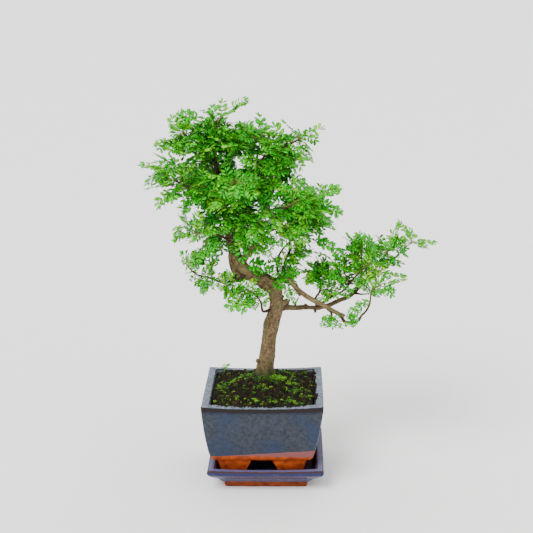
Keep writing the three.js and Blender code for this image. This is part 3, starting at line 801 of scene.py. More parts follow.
class Ware:
    """The pot with its feet, the saucer, and the net over the drain hole."""

    def __init__(self) -> None:
        """Sets out the profiles, as the solids have them."""
        self.pot = Vessel(
            [
                Corner(9.999, 39, 0.8, 0), Corner(57.6, 39, 1.2), Corner(61, 40.3, 2), Corner(64.2, 44, 3),
                Corner(67.2, 55, 10), Corner(71.5, 78, 20), Corner(75.3, 107.5, 5, lift=0.8),
                Corner(75.5, 110.5, 2, lift=1.8), Corner(75.6, 113.4, 1.3, lift=2.4), Corner(70, 113.8, 3, lift=2.4),
                Corner(65.2, 113.4, 1.8, lift=2.2), Corner(64.2, 110, 3), Corner(61.5, 78, 12),
                Corner(57, 55, 8), Corner(52, 47, 4), Corner(10, 47, 0.8, 0),
            ],
            bow=0.6, edge_radius=2.4, centre_x=-3.0, looped=True, lean=1.5,
        )
        self.saucer = Vessel(
            [
                Corner(50, 0, 0.3), Corner(51.8, 1.2, 1.5), Corner(53, 7.6, 0.8), Corner(54.6, 8.3, 1),
                Corner(60.8, 15.3, 5), Corner(67.2, 19.6, 3), Corner(71.6, 22.5, 2, lift=1),
                Corner(73, 25, 2, lift=1.4), Corner(72.5, 28.9, 1.4, lift=1.4), Corner(68, 29.3, 3, lift=1.4),
                Corner(63.6, 28.8, 1.4, lift=1.4), Corner(61.5, 25.3, 2), Corner(59.2, 20.9, 2.5),
                Corner(54, 20.6, 2), Corner(2, 20.6, 0),
            ],
            bow=0.4, edge_radius=1.5,
        )

    def build(self) -> None:
        """Makes the three pieces and dresses them."""
        outer, inner = (self.pot.distance(k) for k in (8, 10))
        slate = StonewareGlaze(
            # the rim colour is a painted highlight on the flat top, far paler than the sides
            "slate_stoneware_glaze", low="#1b2027", high="#363e4a", tinge="#1c2b47", rim="#78818f", pool="#070c22",
            edge="#160a04", inside="#353d48", clay_top=(51.3, 0.07), halo=(46.8, -0.03),
            edges=((outer - 2.2, 3.5), (inner, 1.5)), rim_span=(outer, inner),
        )
        parts = [self.pot.shell(), *(Foot().shell(k) for k in range(4))]
        put("glazed_pot", parts, [slate.material()], ["pot"])
        lip, outer, inner = (self.saucer.distance(k) for k in (6, 8, 10))
        blue = StonewareGlaze(
            # the rim colour is a painted highlight on the flat top
            "blue_stoneware_glaze", low="#26263f", high="#504e70", tinge="#2e305e", rim="#585a82", pool="#1c2150",
            # inside is nearly black: painted shade under the pot and within the saucer's walls
            edge="#3a2415", inside="#0e1024", clay_top=(9.0, 0.0), halo=(9.5, 0.0),
            edges=((lip - 0.5, 1.7), (outer, 2.1), (inner, 2.0)), rim_span=(outer, inner),
            clay="#833a18", clay_dark="#56220c", blush="#743012",
        )
        put("glazed_saucer", [self.saucer.shell()], [blue.material()], ["saucer"])
        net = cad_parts["drain_mesh"]
        net.data.materials.clear()
        net.data.materials.append(MouldedNet().material())


# Soil and moss


@dataclass
class Ground:
    """The soil in the pot: its heap, crumbs, moss and bits of root.

    Attributes:
        centre_x: where the pot's middle lies.
        trunk: where the trunk stands.
        edge: the soil's height at the pot's wall.
        heap: how far it rises round the trunk.
        heap_width: how wide the heap is.
        edge_half: half width of the soil.
        wall_rise: how far the soil is drawn up at the wall.
        mossy_half: half width of the square that moss grows in.
        crumb_count: crumbs on the soil.
        spilled: crumbs on the right of the rim, and on its front.
        tuft_leaves: leaves in a tuft of moss.
        seed: starts the random numbers.
    """

    centre_x: float = -3.0
    trunk: tuple[float, float] = (-2.0, 14.0)
    edge: float = 111.0
    heap: float = 16.0
    heap_width: float = 40.0
    edge_half: float = 63.5
    wall_rise: float = 2.2
    mossy_half: float = 62.0
    crumb_count: int = 2200
    spilled: tuple[int, int] = (70, 110)
    tuft_leaves: int = 26
    seed: int = 5

    def height(self, xy: Array) -> Array:
        """Height of the soil: a bell-shaped heap of 16 mm round the trunk on two slow waves.

        Args:
            xy: places in mm, (..., 2).

        Returns:
            Heights in mm.
        """
        x, y = xy[..., 0] - self.centre_x, xy[..., 1]
        away = np.hypot(xy[..., 0] - self.trunk[0], y - self.trunk[1]) / self.heap_width
        waves = np.sin(0.31 * x + 1.3) * np.cos(0.27 * y) + 0.6 * np.sin(0.13 * x - 0.21 * y)
        return self.edge + self.heap * np.exp(-away * away) + 1.1 * waves

    def bumpy(self, xy: Array) -> Array:
        """The soil's height with clods of 9 mm and crumbs of 3 mm on it, drawn up at the pot's wall."""
        flat = np.concatenate([xy, np.zeros_like(xy[..., :1])], -1)
        square = np.maximum(np.abs(xy[..., 0] - self.centre_x), np.abs(xy[..., 1])) / self.edge_half
        rise = self.wall_rise * np.clip((square - 0.74) / 0.24, 0, 1)
        return self.height(xy) + rise + 1.2 * rough(flat, 9.0, 11) + 1.1 * np.abs(rough(flat, 3.2, 21, 2)) - 0.5

    def heap_shell(self) -> Shell:
        """The heap: rings from the trunk out to the pot's wall, down the wall and in across the floor."""
        wall = np.array([(61.2, 78.3), (56.7, 55.3), (51.7, 47.3), (14.0, 47.3), (13.8, 49.3), (0.5, 49.3)])
        top = 80
        scale = np.concatenate([np.linspace(0.004, 1, top) ** 0.8, wall[:, 0] / self.edge_half])
        edge = Vessel([Corner(self.edge_half, 0)], bow=2.4, edge_radius=6, side_points=56)
        ring, _ = edge.rings(np.array([[self.edge_half, 0, 1, 0]]))
        flat = ring[0, None, :, :2] * scale[:, None, None] + [self.centre_x, 0]
        z = self.bumpy(flat)
        inward = np.clip((1 - scale[:top]) * 12, 0, 1)[:, None]
        z[:top] = z[:top] * inward + (self.edge + self.wall_rise) * (1 - inward)
        z[top:] = wall[:, 1:]
        points = np.concatenate([flat, z[..., None]], -1)
        red = np.exp(-(((flat[..., 0] + 45) / 25) ** 2) - ((flat[..., 1] + 40) / 20) ** 2)
        return Shell(points.reshape(-1, 3), capped(*z.shape, True), tint=(0.12 * red - 0.03).ravel())

    def scattered(self, count: int, rng: np.random.Generator, half: float = 61.0) -> Array:
        """Random places on the soil, (count, 3)."""
        xy = rng.uniform(-half, half, (count, 2)) + [self.centre_x, 0]
        return np.concatenate([xy, self.bumpy(xy)[:, None]], -1)

    def crumbs(self, rng: np.random.Generator) -> Shell:
        """Crumbs 0.5 to 4 mm in radius: small balls stretched at random and dented by noise, some on the rim."""
        ball = bmesh.new()
        bmesh.ops.create_icosphere(ball, subdivisions=1, radius=1)
        form = np.array([v.co for v in ball.verts])
        faces = np.array([[v.index for v in f.verts] for f in ball.faces])
        ball.free()
        right, front = self.spilled
        middle = [self.centre_x, 0, 0]
        places = self.scattered(self.crumb_count, rng)
        on_right = rng.uniform([61.5, -46, 113.8], [69.5, 60, 115.4], (right, 3)) + middle
        on_right[:, 0] -= 3.5 * rng.random(right)
        on_front = rng.uniform([-64, -70.5, 113.6], [62, -66.5, 114.6], (front, 3)) + middle
        places = np.concatenate([places, on_right, on_front])[:, None]
        count = len(places)
        size = 0.8 + 2.4 * rng.random(count) ** 3
        size[self.crumb_count :] = rng.uniform(0.8, 2.3, right + front)
        stretch = rng.uniform(0.6, 1.25, (count, 1, 3))
        lumps = form[None] * size[:, None, None] * stretch + places
        dents = 1 + 0.35 * value_noise(lumps, 1.4, 9)
        lumps = places + (lumps - places) * dents[..., None]
        tint = np.repeat(rng.normal(0.0, 0.07, count), len(form))
        return Shell(lumps.reshape(-1, 3), [copied(faces, len(form), count)], tint=tint)

    def fibres(self, rng: np.random.Generator) -> Shell:
        """Bits of dry root and straw, 5 to 15 mm long, lying on the soil."""
        start = self.scattered(95, rng, 56.0)
        ahead = circle(rng.uniform(0, 2 * math.pi, len(start)))[:, None]
        length = rng.uniform(5, 15, len(start))[:, None]
        t = np.linspace(-0.5, 0.5, 6)
        flat = start[:, None, :2] + (t * length)[..., None] * ahead
        flat += (0.12 * length * np.cos(3 * t))[..., None] * ahead[..., ::-1] * [-1, 1]
        line = np.concatenate([flat, (self.bumpy(flat) + 0.45)[..., None]], -1)
        shell = tubes(line, 0.28 * np.cos(2.6 * t), 4)
        shell.tint = np.repeat(rng.uniform(0.12, 0.42, len(start)), len(shell.points) // len(start))
        return shell

    def moss(self, rng: np.random.Generator) -> Shell:
        """Tufts of moss: each tiny leaf is a closed spindle of six faces that leans out of its tuft."""
        tufts = []
        for start, end, count, spread, rise in MOSS_BANDS:
            t = rng.random(count)[:, None]
            middle = np.array([start]) * (1 - t) + np.array([end]) * t + rng.normal(0, spread, (count, 2))
            tufts.append([middle, rng.uniform(1.3, 3.4, (count, 1)), np.full((count, 1), rise)])
        few, near = 250, 60
        middle = rng.uniform(-61, 61, (few, 2)) + [self.centre_x, 0]
        tufts.append([middle, rng.uniform(0.7, 2.2, (few, 1)), rng.uniform(0.1, 0.75, (few, 1))])
        turn, away = rng.uniform(0, 2 * math.pi, near), rng.uniform(10.5, 17, (near, 1))
        middle = np.array(self.trunk) + away * circle(turn)
        tufts.append([middle, rng.uniform(2.0, 4.4, (near, 1)), rng.uniform(0.2, 0.7, (near, 1))])
        table = np.concatenate([np.concatenate(tuft, 1) for tuft in tufts])
        table = table[(np.abs(table[:, :2] - [self.centre_x, 0]) < self.mossy_half).all(1)]
        size, fresh = table[:, None, 2], table[:, None, 3]
        shape = (len(table), self.tuft_leaves)
        around = circle(rng.uniform(0, 2 * math.pi, shape))
        out = np.sqrt(rng.random(shape))
        flat = table[:, None, :2] + (size * out)[..., None] * around
        dome = 0.7 * size * np.sqrt(np.clip(1 - out**2, 0, 1))
        root = np.concatenate([flat, (self.bumpy(flat) + dome - 0.5)[..., None]], -1)
        lean = np.concatenate([around * out[..., None], (0.75 - 0.35 * out)[..., None]], -1)
        heading = unit(lean + rng.normal(0, 0.3, lean.shape))
        long = heading * rng.uniform(0.9, 2.0, shape)[..., None]
        across = squared(np.array([0.3, 0.2, 1.0]), heading)
        half = 0.3
        side, back = across * half, np.cross(heading, across) * half * 1.5
        middle = root + long * 0.5
        behind = middle - side * 0.5
        points = np.stack([root, middle + side, behind + back, behind - back, root + long], -2)
        form = np.array([[0, 2, 1], [0, 3, 2], [0, 1, 3], [4, 1, 2], [4, 2, 3], [4, 3, 1]])
        fresh = fresh + 0.16 * rng.normal(0, 1, shape) + 0.15 * rng.normal(0, 1, (len(table), 1)) - 0.05
        # Each leaf is darker at its root and lighter at its tip: painted shade in the depth of the tuft, and at the
        # tip partly yellow new growth and partly painted light.
        tint = fresh[..., None] + np.array([-0.35, 0, 0, 0, 0.2])
        return Shell(points.reshape(-1, 3), [copied(form, 5, out.size)], tint=np.clip(tint, 0, 1).ravel())

    @staticmethod
    def sprig(rng: np.random.Generator) -> list[Shell]:
        """A tiny weed over the back left of the rim: four hair-thin stems with round leaves of 2.6 to 3.8 mm.

        Args:
            rng: source of small differences.

        Returns:
            Its leaves and its stems.
        """
        foot = np.array([-57.5, 62.0, 112.5])
        tips = np.array([[-61, 66, 118.5], [-57, 69, 120.5], [-54, 68, 120], [-51, 66, 122.5]])[:, None]
        pull = tips * [0.5, 0.5, 1] + foot * [0.5, 0.5, 0]
        lines = bent(foot, pull, tips, np.linspace(0, 1, 5)[:, None])
        stems = tubes(lines, 0.22, 4)
        stems.finish = 1
        root = np.repeat(lines[:, 2:].reshape(-1, 3), 2, axis=0)
        out = unit(rng.normal(0, 1, root.shape) * [1, 1, 0.4])
        normal = squared(np.array([0, -0.9, 0.7]), out)
        count = len(root)
        blades = Leaflet().shell(
            root, out, normal, rng.uniform(2.6, 3.8, count), rng.uniform(2.0, 2.9, count),
            rng.uniform(0.4, 0.7, count), np.full(count, 0.1),
        )
        return [blades, stems]

    def build(self) -> None:
        """Makes the soil with its crumbs and roots, the moss and the weed."""
        rng = np.random.default_rng(self.seed)
        heap = [self.heap_shell(), self.crumbs(rng), self.fibres(rng)]
        weed = [LeafSkin("soft_weed_leaf").material(), GreenStem("weed_stem").material()]
        put("heaped_soil", heap, [PottingSoil().material()], ["soil"])
        put("moss_tufts", [self.moss(rng)], [Moss().material()])
        put("tiny_rim_sprig", self.sprig(rng), weed)


# Bands of moss on the soil: from, to, tufts, spread in mm, and how fresh the green is
MOSS_BANDS = (
    ((-62, -4), (-30, 26), 26, 2.5, 0.62), ((-32, 24), (-18, 8), 14, 4.0, 0.6), ((4, 4), (24, 10), 34, 4.0, 0.66),
    ((-16, 4), (4, 0), 14, 2.5, 0.35), ((24, 6), (44, -16), 22, 4.0, 0.6), ((-50, -46), (-58, 0), 14, 4.0, 0.5),
    ((-14, -40), (-10, -50), 9, 2.0, 0.66), ((6, -44), (12, -54), 9, 2.0, 0.7), ((30, -46), (40, -54), 10, 2.5, 0.72),
    ((-4, -10), (4, -22), 8, 2.5, 0.66), ((20, 40), (50, 52), 12, 4.0, 0.55), ((46, -20), (58, -44), 8, 3.0, 0.5),
)


# Wood


def tubes(lines: Array, radii: Array | float, sides: int) -> Shell:
    """Many tubes at once, each carried along its own line and closed flat at its ends.

    Round the line, a point stands at radius (n cos a + b sin a), where n is square to the tube's heading and
    to the world axis that its line least follows.

    Args:
        lines: centre lines in mm, (tubes, steps, 3).
        radii: radius at each point, (tubes, steps), or what all the tubes share, (steps,) or one number.
        sides: faces round a tube.

    Returns:
        The tubes as one shell.
    """
    heading = unit(np.gradient(lines, axis=1))
    least = np.argmin(np.abs(heading).max(1), axis=-1)
    normal = squared(np.eye(3)[least][:, None], heading)
    other = np.cross(heading, normal)
    angle = np.arange(sides) * 2 * math.pi / sides
    ring = normal[:, :, None] * np.cos(angle)[:, None] + other[:, :, None] * np.sin(angle)[:, None]
    points = lines[:, :, None] + ring * np.asarray(radii)[..., None, None]
    count, steps = lines.shape[:2]
    skin, *ends = capped(steps, sides)
    faces = [copied(k, steps * sides, count) for k in (skin, np.concatenate(ends))]
    return Shell(points.reshape(-1, 3), faces)


@dataclass
class Limb:
    """A limb of the tree.

    Attributes:
        route: points that its centre line goes through.
        radii: radii from its foot to its end.
        sides: faces round it.
        age: 0 for old tan bark, 1 for a dark twig.
        flared: it widens into surface roots at the soil.
    """

    route: Sequence[tuple[float, float, float]]
    radii: Sequence[float]
    sides: int = 10
    age: float = 1.0
    flared: bool = False

    def line(self, step: float) -> Array:
        """The centre line, evenly spaced.

        It is the centripetal Catmull-Rom curve of the route: the tangent at each point weighs its two
        chords by the square roots of their lengths.

        Args:
            step: spacing in mm.

        Returns:
            Points, (N, 3).
        """
        p = np.array(self.route, float)
        p = np.concatenate([[2 * p[0] - p[1]], p, [2 * p[-1] - p[-2]]])
        gap = np.sqrt(np.linalg.norm(np.diff(p, axis=0), axis=1))[:, None]
        a, b, c = gap[:-2], gap[1:-1], gap[2:]
        p0, p1, p2, p3 = p[:-3], p[1:-2], p[2:-1], p[3:]
        leave = ((p1 - p0) / a - (p2 - p0) / (a + b) + (p2 - p1) / b) * b
        enter = ((p2 - p1) / b - (p3 - p1) / (b + c) + (p3 - p2) / c) * b
        t = np.linspace(0, 1, 24, endpoint=False)[None, :, None]
        start, end, leave, enter = (k[:, None] for k in (p1, p2, leave, enter))
        curve = start + leave * t + (3 * (end - start) - 2 * leave - enter) * t**2
        curve = curve + (2 * (start - end) + leave + enter) * t**3
        curve = np.concatenate([curve.reshape(-1, 3), p[-2:-1]])
        along = travelled(curve)
        even = np.linspace(0, along[-1], max(4, int(along[-1] / step)))
        return np.stack([np.interp(even, along, curve[:, k]) for k in range(3)], -1)

    def shell(self, seed: int) -> Shell:
        """The limb's bark.

        The radius follows the table, swells where the limb leaves its parent and into five lobes at the
        soil, and carries ridges along the limb, wrinkles across it and knots by noise in the limb's own
        coordinates, so that nothing shows a seam.

        Args:
            seed: picks the relief.

        Returns:
            The closed shell of the limb.
        """
        thick = max(self.radii)
        line = self.line(0.9 if thick > 3 else 1.6)
        share = np.linspace(0, 1, len(line))
        radius = np.interp(share, np.linspace(0, 1, len(self.radii)), self.radii)
        length = np.linalg.norm(np.diff(line, axis=0), axis=1).sum()
        if not self.flared:
            radius = radius * (1 + 0.45 * np.exp(-share * length / (2.2 * radius[0])))
        shell = tubes(line[None], radius[None], self.sides)
        points = shell.points.reshape(len(line), self.sides, 3)
        ring = unit(points - line[:, None])
        angle = np.arange(self.sides) * 2 * math.pi / self.sides
        along = np.broadcast_to((share * length)[:, None, None], (len(line), self.sides, 1))
        grown = np.concatenate([radius[:, None, None] * circle(angle), along], -1)
        ridges = rough(grown * [1, 1, 0.2], 3.2, seed, 3)
        wrinkles = rough(grown * [0.35, 0.35, 1], 4.2, seed + 9, 3)
        knots = np.clip(value_noise(grown, 7.5, seed + 17) - 0.4, 0, 1)
        swell = value_noise(grown * [0.6, 0.6, 1], 13.0, seed + 23)
        swing = np.minimum(radius, 8.0)[:, None]
        height = swing * (0.085 * ridges + 0.05 * wrinkles + 0.5 * knots + 0.07 * swell)
        if self.flared:
            soil_top, reach = 127, 9
            away = np.abs(line[:, 2] - soil_top)[:, None]
            lobes = 0.5 + 0.5 * np.cos(5 * angle + 1.9)[None]
            height = height + radius[:, None] * 0.42 * np.exp(-away / reach) * lobes**1.5
        points = points + ring * height[..., None]
        shell.points = points.reshape(-1, 3)
        shell.spot = grown.reshape(-1, 3) + [0, 0, 40.0 * seed]
        fade = np.clip((radius - 1.3) / 1.6, 0, 1)[:, None] * np.ones(self.sides)
        shell.tint = (self.age + (1 - self.age) * (1 - fade) * 0.85).ravel()
        if thick < 2.2:
            shell.tint = shell.tint + 0.9 * np.repeat(np.clip(share * 1.6 - 0.6, 0, 1), self.sides)
        return shell


TRUNK_RADII = (
    9.8, 9.7, 10.1, 9.6, 9.1, 9.4, 9, 8.6, 7.8, 7.4, 7.3, 7.6, 7.4, 5.6, 4.5, 3.9, 3.4, 3, 2.6, 2.1, 1.7, 1.3,
)
TRUNK = (
    (-2, 14, 98), (-2, 14, 128), (-1, 14, 138), (2, 12, 159), (5, 11, 180), (9, 9, 200), (13, 7, 216),
    (14, 5, 232), (12, 2, 246), (3, -2, 256), (-10, -5, 263), (-22, -8, 270), (-31, -9, 279),
    (-36, -8, 290), (-39, -6, 302), (-44, -3, 318), (-47, 0, 334), (-49, 4, 352), (-53, 6, 372),
    (-58, 6, 394), (-59, 4, 419), (-58, 2, 439), (-52, 0, 456),
)
# The limbs in the order that they leave the tree, with their routes as the solids have them
LIMBS: dict[str, Limb] = {
    "trunk": Limb(TRUNK, TRUNK_RADII, 40, 0.0, True),
    "upper_right": Limb(
        ((13, 2, 251), (23, -6, 262), (29, -10, 260), (35, -14, 254), (45, -19, 245), (57, -24, 238),
         (71, -28, 232), (82, -31, 226), (98, -34, 218)), (4.0, 3.1, 3.0, 3.1, 2.7, 2.6), 18, 0.12),
    "lower_right": Limb(
        ((10, 7, 220), (22, 10, 218), (36, 13, 216), (49, 15, 216), (65, 17, 215), (79, 19, 217),
         (92, 20, 223), (105, 21, 228), (113, 22, 234), (122, 22, 244), (131, 21, 253), (142, 20, 260),
         (153, 18, 268)), (4.6, 3.1, 2.8, 2.9, 2.7, 2.3, 1.8, 1.1), 18, 0.35),
    "stub": Limb(
        ((-30, -9, 278), (-23, -14, 290), (-16, -18, 300), (-10, -20, 304), (-6, -21, 306)),
        (4.4, 3.6), 18, 0.1),
    "front_right": Limb(
        ((-44, -3, 318), (-32, -14, 337), (-19, -24, 356), (-9, -27, 380), (-4, -25, 401), (1, -24, 414),
         (14, -24, 421), (30, -24, 428), (43, -22, 435)), (2.6, 0.9)),
    "back_right": Limb(
        ((-46, 0, 334), (-34, 20, 349), (-20, 34, 364), (-2, 45, 377), (20, 52, 386), (39, 56, 389)),
        (2.4, 0.9)),
    "front_left": Limb(
        ((-48, 4, 349), (-62, -14, 364), (-77, -28, 375), (-92, -38, 382), (-103, -44, 390)),
        (2.3, 0.9)),
    "back_left": Limb(((-52, 6, 369), (-70, 24, 377), (-90, 38, 384), (-111, 46, 389), (-128, 50, 390)), (2.2, 0.9)),
    "upper_left": Limb(((-58, 5, 404), (-71, -4, 420), (-84, -12, 433), (-95, -16, 442)), (1.9, 0.9)),
    "top_back": Limb(((-59, 4, 419), (-49, 20, 428), (-35, 34, 434), (-20, 42, 437)), (1.7, 0.9)),
    "top_right": Limb(
        ((-56, 6, 391), (-41, -2, 407), (-28, -8, 420), (-16, -12, 432), (-1, -14, 438)),
        (1.9, 0.9)),
    "mid_front": Limb(
        ((-43, -3, 316), (-29, -22, 330), (-11, -36, 344), (8, -44, 353), (25, -48, 357), (40, -50, 361)),
        (2.3, 0.9)),
    "mid_back": Limb(((-42, -4, 311), (-32, 20, 316), (-17, 40, 324), (3, 56, 332), (29, 64, 338)), (2.3, 0.9)),
    "face_front": Limb(((-48, 3, 347), (-44, -20, 361), (-38, -42, 378), (-31, -58, 393)), (2, 0.9)),
    "face_back": Limb(((-49, 4, 352), (-55, 30, 362), (-57, 50, 374), (-53, 66, 387)), (2, 0.9)),
    "low_left": Limb(((-40, -6, 305), (-50, -18, 315), (-65, -28, 322), (-80, -34, 324)), (1.9, 0.9)),
    "low_back": Limb(((-41, -5, 308), (-57, 16, 318), (-76, 30, 321), (-94, 40, 323)), (1.9, 0.9)),
    "stub_twig": Limb(((-15, -18, 301), (-5, -28, 316), (9, -34, 326), (23, -38, 333)), (1.8, 0.9)),
    "left_low": Limb(
        ((-22, -8, 269), (-30, -16, 263), (-39, -20, 262), (-48, -22, 258), (-56, -22, 260), (-68, -22, 265),
         (-83, -22, 269), (-93, -22, 278)), (3.2, 1.8, 1.5, 1.3, 1.1, 1.0, 0.8)),
    "below_arm": Limb(
        ((8, 7, 216), (2, -2, 216), (-3, -8, 218), (-5, -12, 230), (-11, -17, 241), (-19, -20, 247)),
        (1.8, 0.9)),
    "hooked": Limb(
        ((92, -33, 221), (99, -36, 212), (107, -38, 213), (115, -40, 215), (118, -41, 221), (124, -42, 228),
         (128, -43, 237), (129, -44, 246), (131, -46, 255), (139, -48, 261)), (1.8, 0.9)),
    "peg": Limb(((78, -30, 227), (82, -31, 222), (82, -31, 212)), (1.7, 1.2)),
    "riser": Limb(
        ((22, -6, 261), (24, -6, 273), (27, -6, 286), (31, -5, 294), (31, -4, 304), (34, -3, 311),
         (40, -2, 320), (51, 0, 328)), (2.5, 1.9, 1.6, 1.2, 1.0, 0.9)),
    "riser_back": Limb(((19, -2, 258), (15, 14, 268), (17, 28, 280), (26, 40, 291), (39, 48, 300)), (1.8, 0.9)),
    "inner_right": Limb(
        ((66, 17, 216), (75, 11, 225), (86, 6, 234), (96, 2, 240), (103, -1, 249), (103, -3, 258),
         (99, -5, 265)), (1.9, 0.9)),
    "inner_front": Limb(((103, -1, 249), (112, -12, 263), (123, -22, 277), (136, -30, 291)), (1.3, 0.9)),
    "fork": Limb(((65, 16, 217), (63, 12, 228), (68, 8, 238), (69, 6, 248), (68, 5, 258)), (1.6, 0.9)),
    "tall_right": Limb(((131, 21, 253), (141, 24, 266), (150, 27, 278), (156, 29, 287)), (1.5, 0.9)),
    "tip_right": Limb(((149, 19, 265), (161, 14, 279), (171, 10, 291), (182, 8, 301)), (1.0, 0.6)),
    "back_right_fan": Limb(((113, 22, 234), (120, 36, 245), (129, 48, 259), (134, 56, 273)), (1.6, 0.9)),
    "mid_spur": Limb(((122, 22, 244), (120, 10, 259), (120, 2, 276), (120, -2, 287)), (1.4, 0.9)),
    "spur": Limb(((112, 22, 233), (121, 15, 233), (129, 10, 235)), (1.4, 0.9)),
    "knob": Limb(((26, 10, 218), (28, 7, 224), (30, 4, 229)), (2.2, 1.6), 12, 0.5),
    "base_stub": Limb(((-4, 12, 145), (-8, 10, 146), (-12, 8, 147)), (3.2, 2.3), 12, 0.35),
    "upper_knot": Limb(((37, -15, 252), (38, -14, 253), (39, -14, 255)), (1.9, 1.4), 10, 0.8),
    "upper_knob": Limb(((42, -18, 245), (43, -21, 243), (43, -22, 241)), (1.8, 1.3), 10, 0.4),
    "lower_bump": Limb(((51, 15, 216), (51, 14, 218), (52, 14, 220)), (2.9, 2.2), 12, 0.4),
    "lower_spur": Limb(((37, 13, 218), (39, 12, 224), (42, 12, 230)), (1.2, 0.6), 8),
    "lower_peg": Limb(((62, 16, 215), (63, 15, 212), (63, 14, 209)), (1.8, 1.2), 8, 0.8),
    "collar": Limb(((14, 6, 220), (19, 5, 223), (24, 4, 226), (28, 3, 229)), (4.6, 4.2, 3.3, 2.3), 14, 0.1),
    "collar_nub": Limb(((20, 5, 226), (21, 6, 230), (23, 6, 234)), (1.7, 1.1), 10, 0.7),
    "left_strand": Limb(
        ((-40, -6, 306), (-41, -9, 297), (-42, -10, 288), (-41, -11, 280), (-38, -11, 272), (-33, -10, 265),
         (-25, -8, 258)), (1.6, 2.7, 3.1, 3.3, 3.9, 4.3, 3.0), 18, 0.0),
    "arm_strand": Limb(
        ((-27, -8, 264), (-13, -7, 257.5), (-2, -6, 250), (7, -4, 241), (8, -1, 231), (9, 1, 221)),
        (3.0, 3.8, 4.2, 4.0, 3.6, 2.4), 18, 0.0),
    "left_stub": Limb(((-27, -9, 261), (-34, -11, 261), (-42, -13, 262)), (3.5, 3.2, 2.4), 14, 0.2),
}


class Wood:
    """Trunk, branches and woody twigs, which grew as one."""

    def build(self) -> None:
        """Makes the wood as one piece."""
        shells = [limb.shell(k + 1) for k, limb in enumerate(LIMBS.values())]
        put("barked_wood", shells, [Bark().material()], ["wood"])


# Foliage


class Chance:
    """Repeatable random numbers from 0 to 1, by the rule that the solids are grown with."""

    def __init__(self, seed: int) -> None:
        """Starts the row of numbers."""
        self.state = seed

    def draw(self) -> float:
        """The next number: the state moves on by a fixed step and is mixed by shifts and products."""
        self.state = (self.state + 0x6D2B79F5) & 0xFFFFFFFF
        s = self.state
        mixed = (s ^ (s >> 15)) * (1 | s) & 0xFFFFFFFF
        mixed = (mixed + ((mixed ^ (mixed >> 7)) * (61 | mixed) & 0xFFFFFFFF)) & 0xFFFFFFFF ^ mixed
        return ((mixed ^ (mixed >> 14)) & 0xFFFFFFFF) / 4294967296


@dataclass
class Leaves:
    """A set of pinnate leaves as arrays, one row a leaf.

    Attributes:
        root: where the leaf leaves its stem.
        along: heading of its rib.
        normal: its upper side.
        length: length of the leaf.
        pairs: pairs of leaflets.
        tint: 0 old and dark, 1 new growth.
        shoot: the shoot that it belongs to.
    """

    root: Array
    along: Array
    normal: Array
    length: Array
    pairs: Array
    tint: Array
    shoot: Array

    def chosen(self, rows: Array) -> "Leaves":
        """The leaves in rows."""
        return Leaves(*(getattr(self, k)[rows] for k in self.__dataclass_fields__))


# Base on the wood, tip of the last leaf, and number of leaves in the solid, for every leafy shoot
SHOOTS: tuple[tuple[tuple[float, float, float], tuple[float, float, float], int], ...] = (
    ((-52, 0, 456), (-17, -2, 483), 3), ((-56, 1, 445), (-104, -6, 466), 3), ((-53, 0, 453), (-66, 16, 473), 2),
    ((-95, -16, 442), (-108, -34, 458), 2), ((-84, -12, 433), (-134, -10, 432), 3),
    ((-71, -4, 420), (-98, -40, 423), 2), ((-1, -14, 438), (19, -36, 446), 2), ((-28, -8, 420), (-43, -46, 437), 2),
    ((-16, -12, 432), (5, 10, 453), 2), ((-20, 42, 437), (6, 62, 423), 2), ((-35, 34, 434), (-59, 58, 441), 2),
    ((43, -22, 435), (60, -26, 452), 2), ((30, -24, 428), (62, -34, 415), 2), ((14, -24, 421), (42, -46, 407), 3),
    ((-4, -25, 401), (-22, -64, 419), 3), ((-9, -27, 380), (32, -48, 383), 3), ((39, 56, 389), (51, 72, 406), 2),
    ((20, 52, 386), (48, 66, 367), 2), ((-20, 34, 364), (-17, 66, 384), 2), ((25, -48, 357), (90, -54, 384), 3),
    ((40, -50, 361), (92, -62, 358), 2), ((8, -44, 353), (21, -78, 338), 3), ((-11, -36, 344), (-13, -66, 322), 2),
    ((29, 64, 338), (83, 64, 349), 3), ((3, 56, 332), (2, 88, 300), 3), ((-31, -58, 393), (-7, -84, 378), 3),
    ((-38, -42, 378), (-59, -72, 363), 2), ((-53, 66, 387), (-36, 86, 404), 2), ((-53, 66, 387), (-80, 92, 369), 2),
    ((-57, 50, 374), (-37, 84, 344), 3), ((-103, -44, 390), (-143, -54, 416), 3),
    ((-92, -38, 382), (-130, -52, 361), 2), ((-77, -28, 375), (-97, -50, 352), 2),
    ((-128, 50, 390), (-157, 62, 367), 2), ((-111, 46, 389), (-138, 54, 412), 2),
    ((-80, -34, 324), (-111, -42, 321), 2), ((-65, -28, 322), (-81, -48, 290), 2),
    ((-94, 40, 323), (-121, 60, 304), 2), ((-76, 30, 321), (-69, 52, 280), 2), ((-92, -22, 277), (-87, -26, 301), 2),
    ((-68, -22, 265), (-81, -26, 248), 1), ((-19, -20, 247), (-50, -30, 227), 3), ((23, -38, 333), (55, -46, 315), 2),
    ((51, 0, 328), (90, 4, 326), 2), ((33, -3, 309), (79, -8, 310), 2), ((39, 48, 300), (76, 62, 308), 2),
    ((99, -5, 265), (70, -14, 301), 2), ((136, -30, 291), (122, -46, 326), 2), ((120, -2, 287), (102, 0, 317), 3),
    ((156, 29, 287), (173, 34, 326), 3), ((182, 8, 301), (202, 2, 308), 2), ((134, 56, 273), (156, 72, 290), 2),
    ((139, -48, 261), (172, -56, 275), 2), ((82, -31, 216), (96, -40, 209), 1), ((68, 5, 258), (56, 2, 283), 2),
)


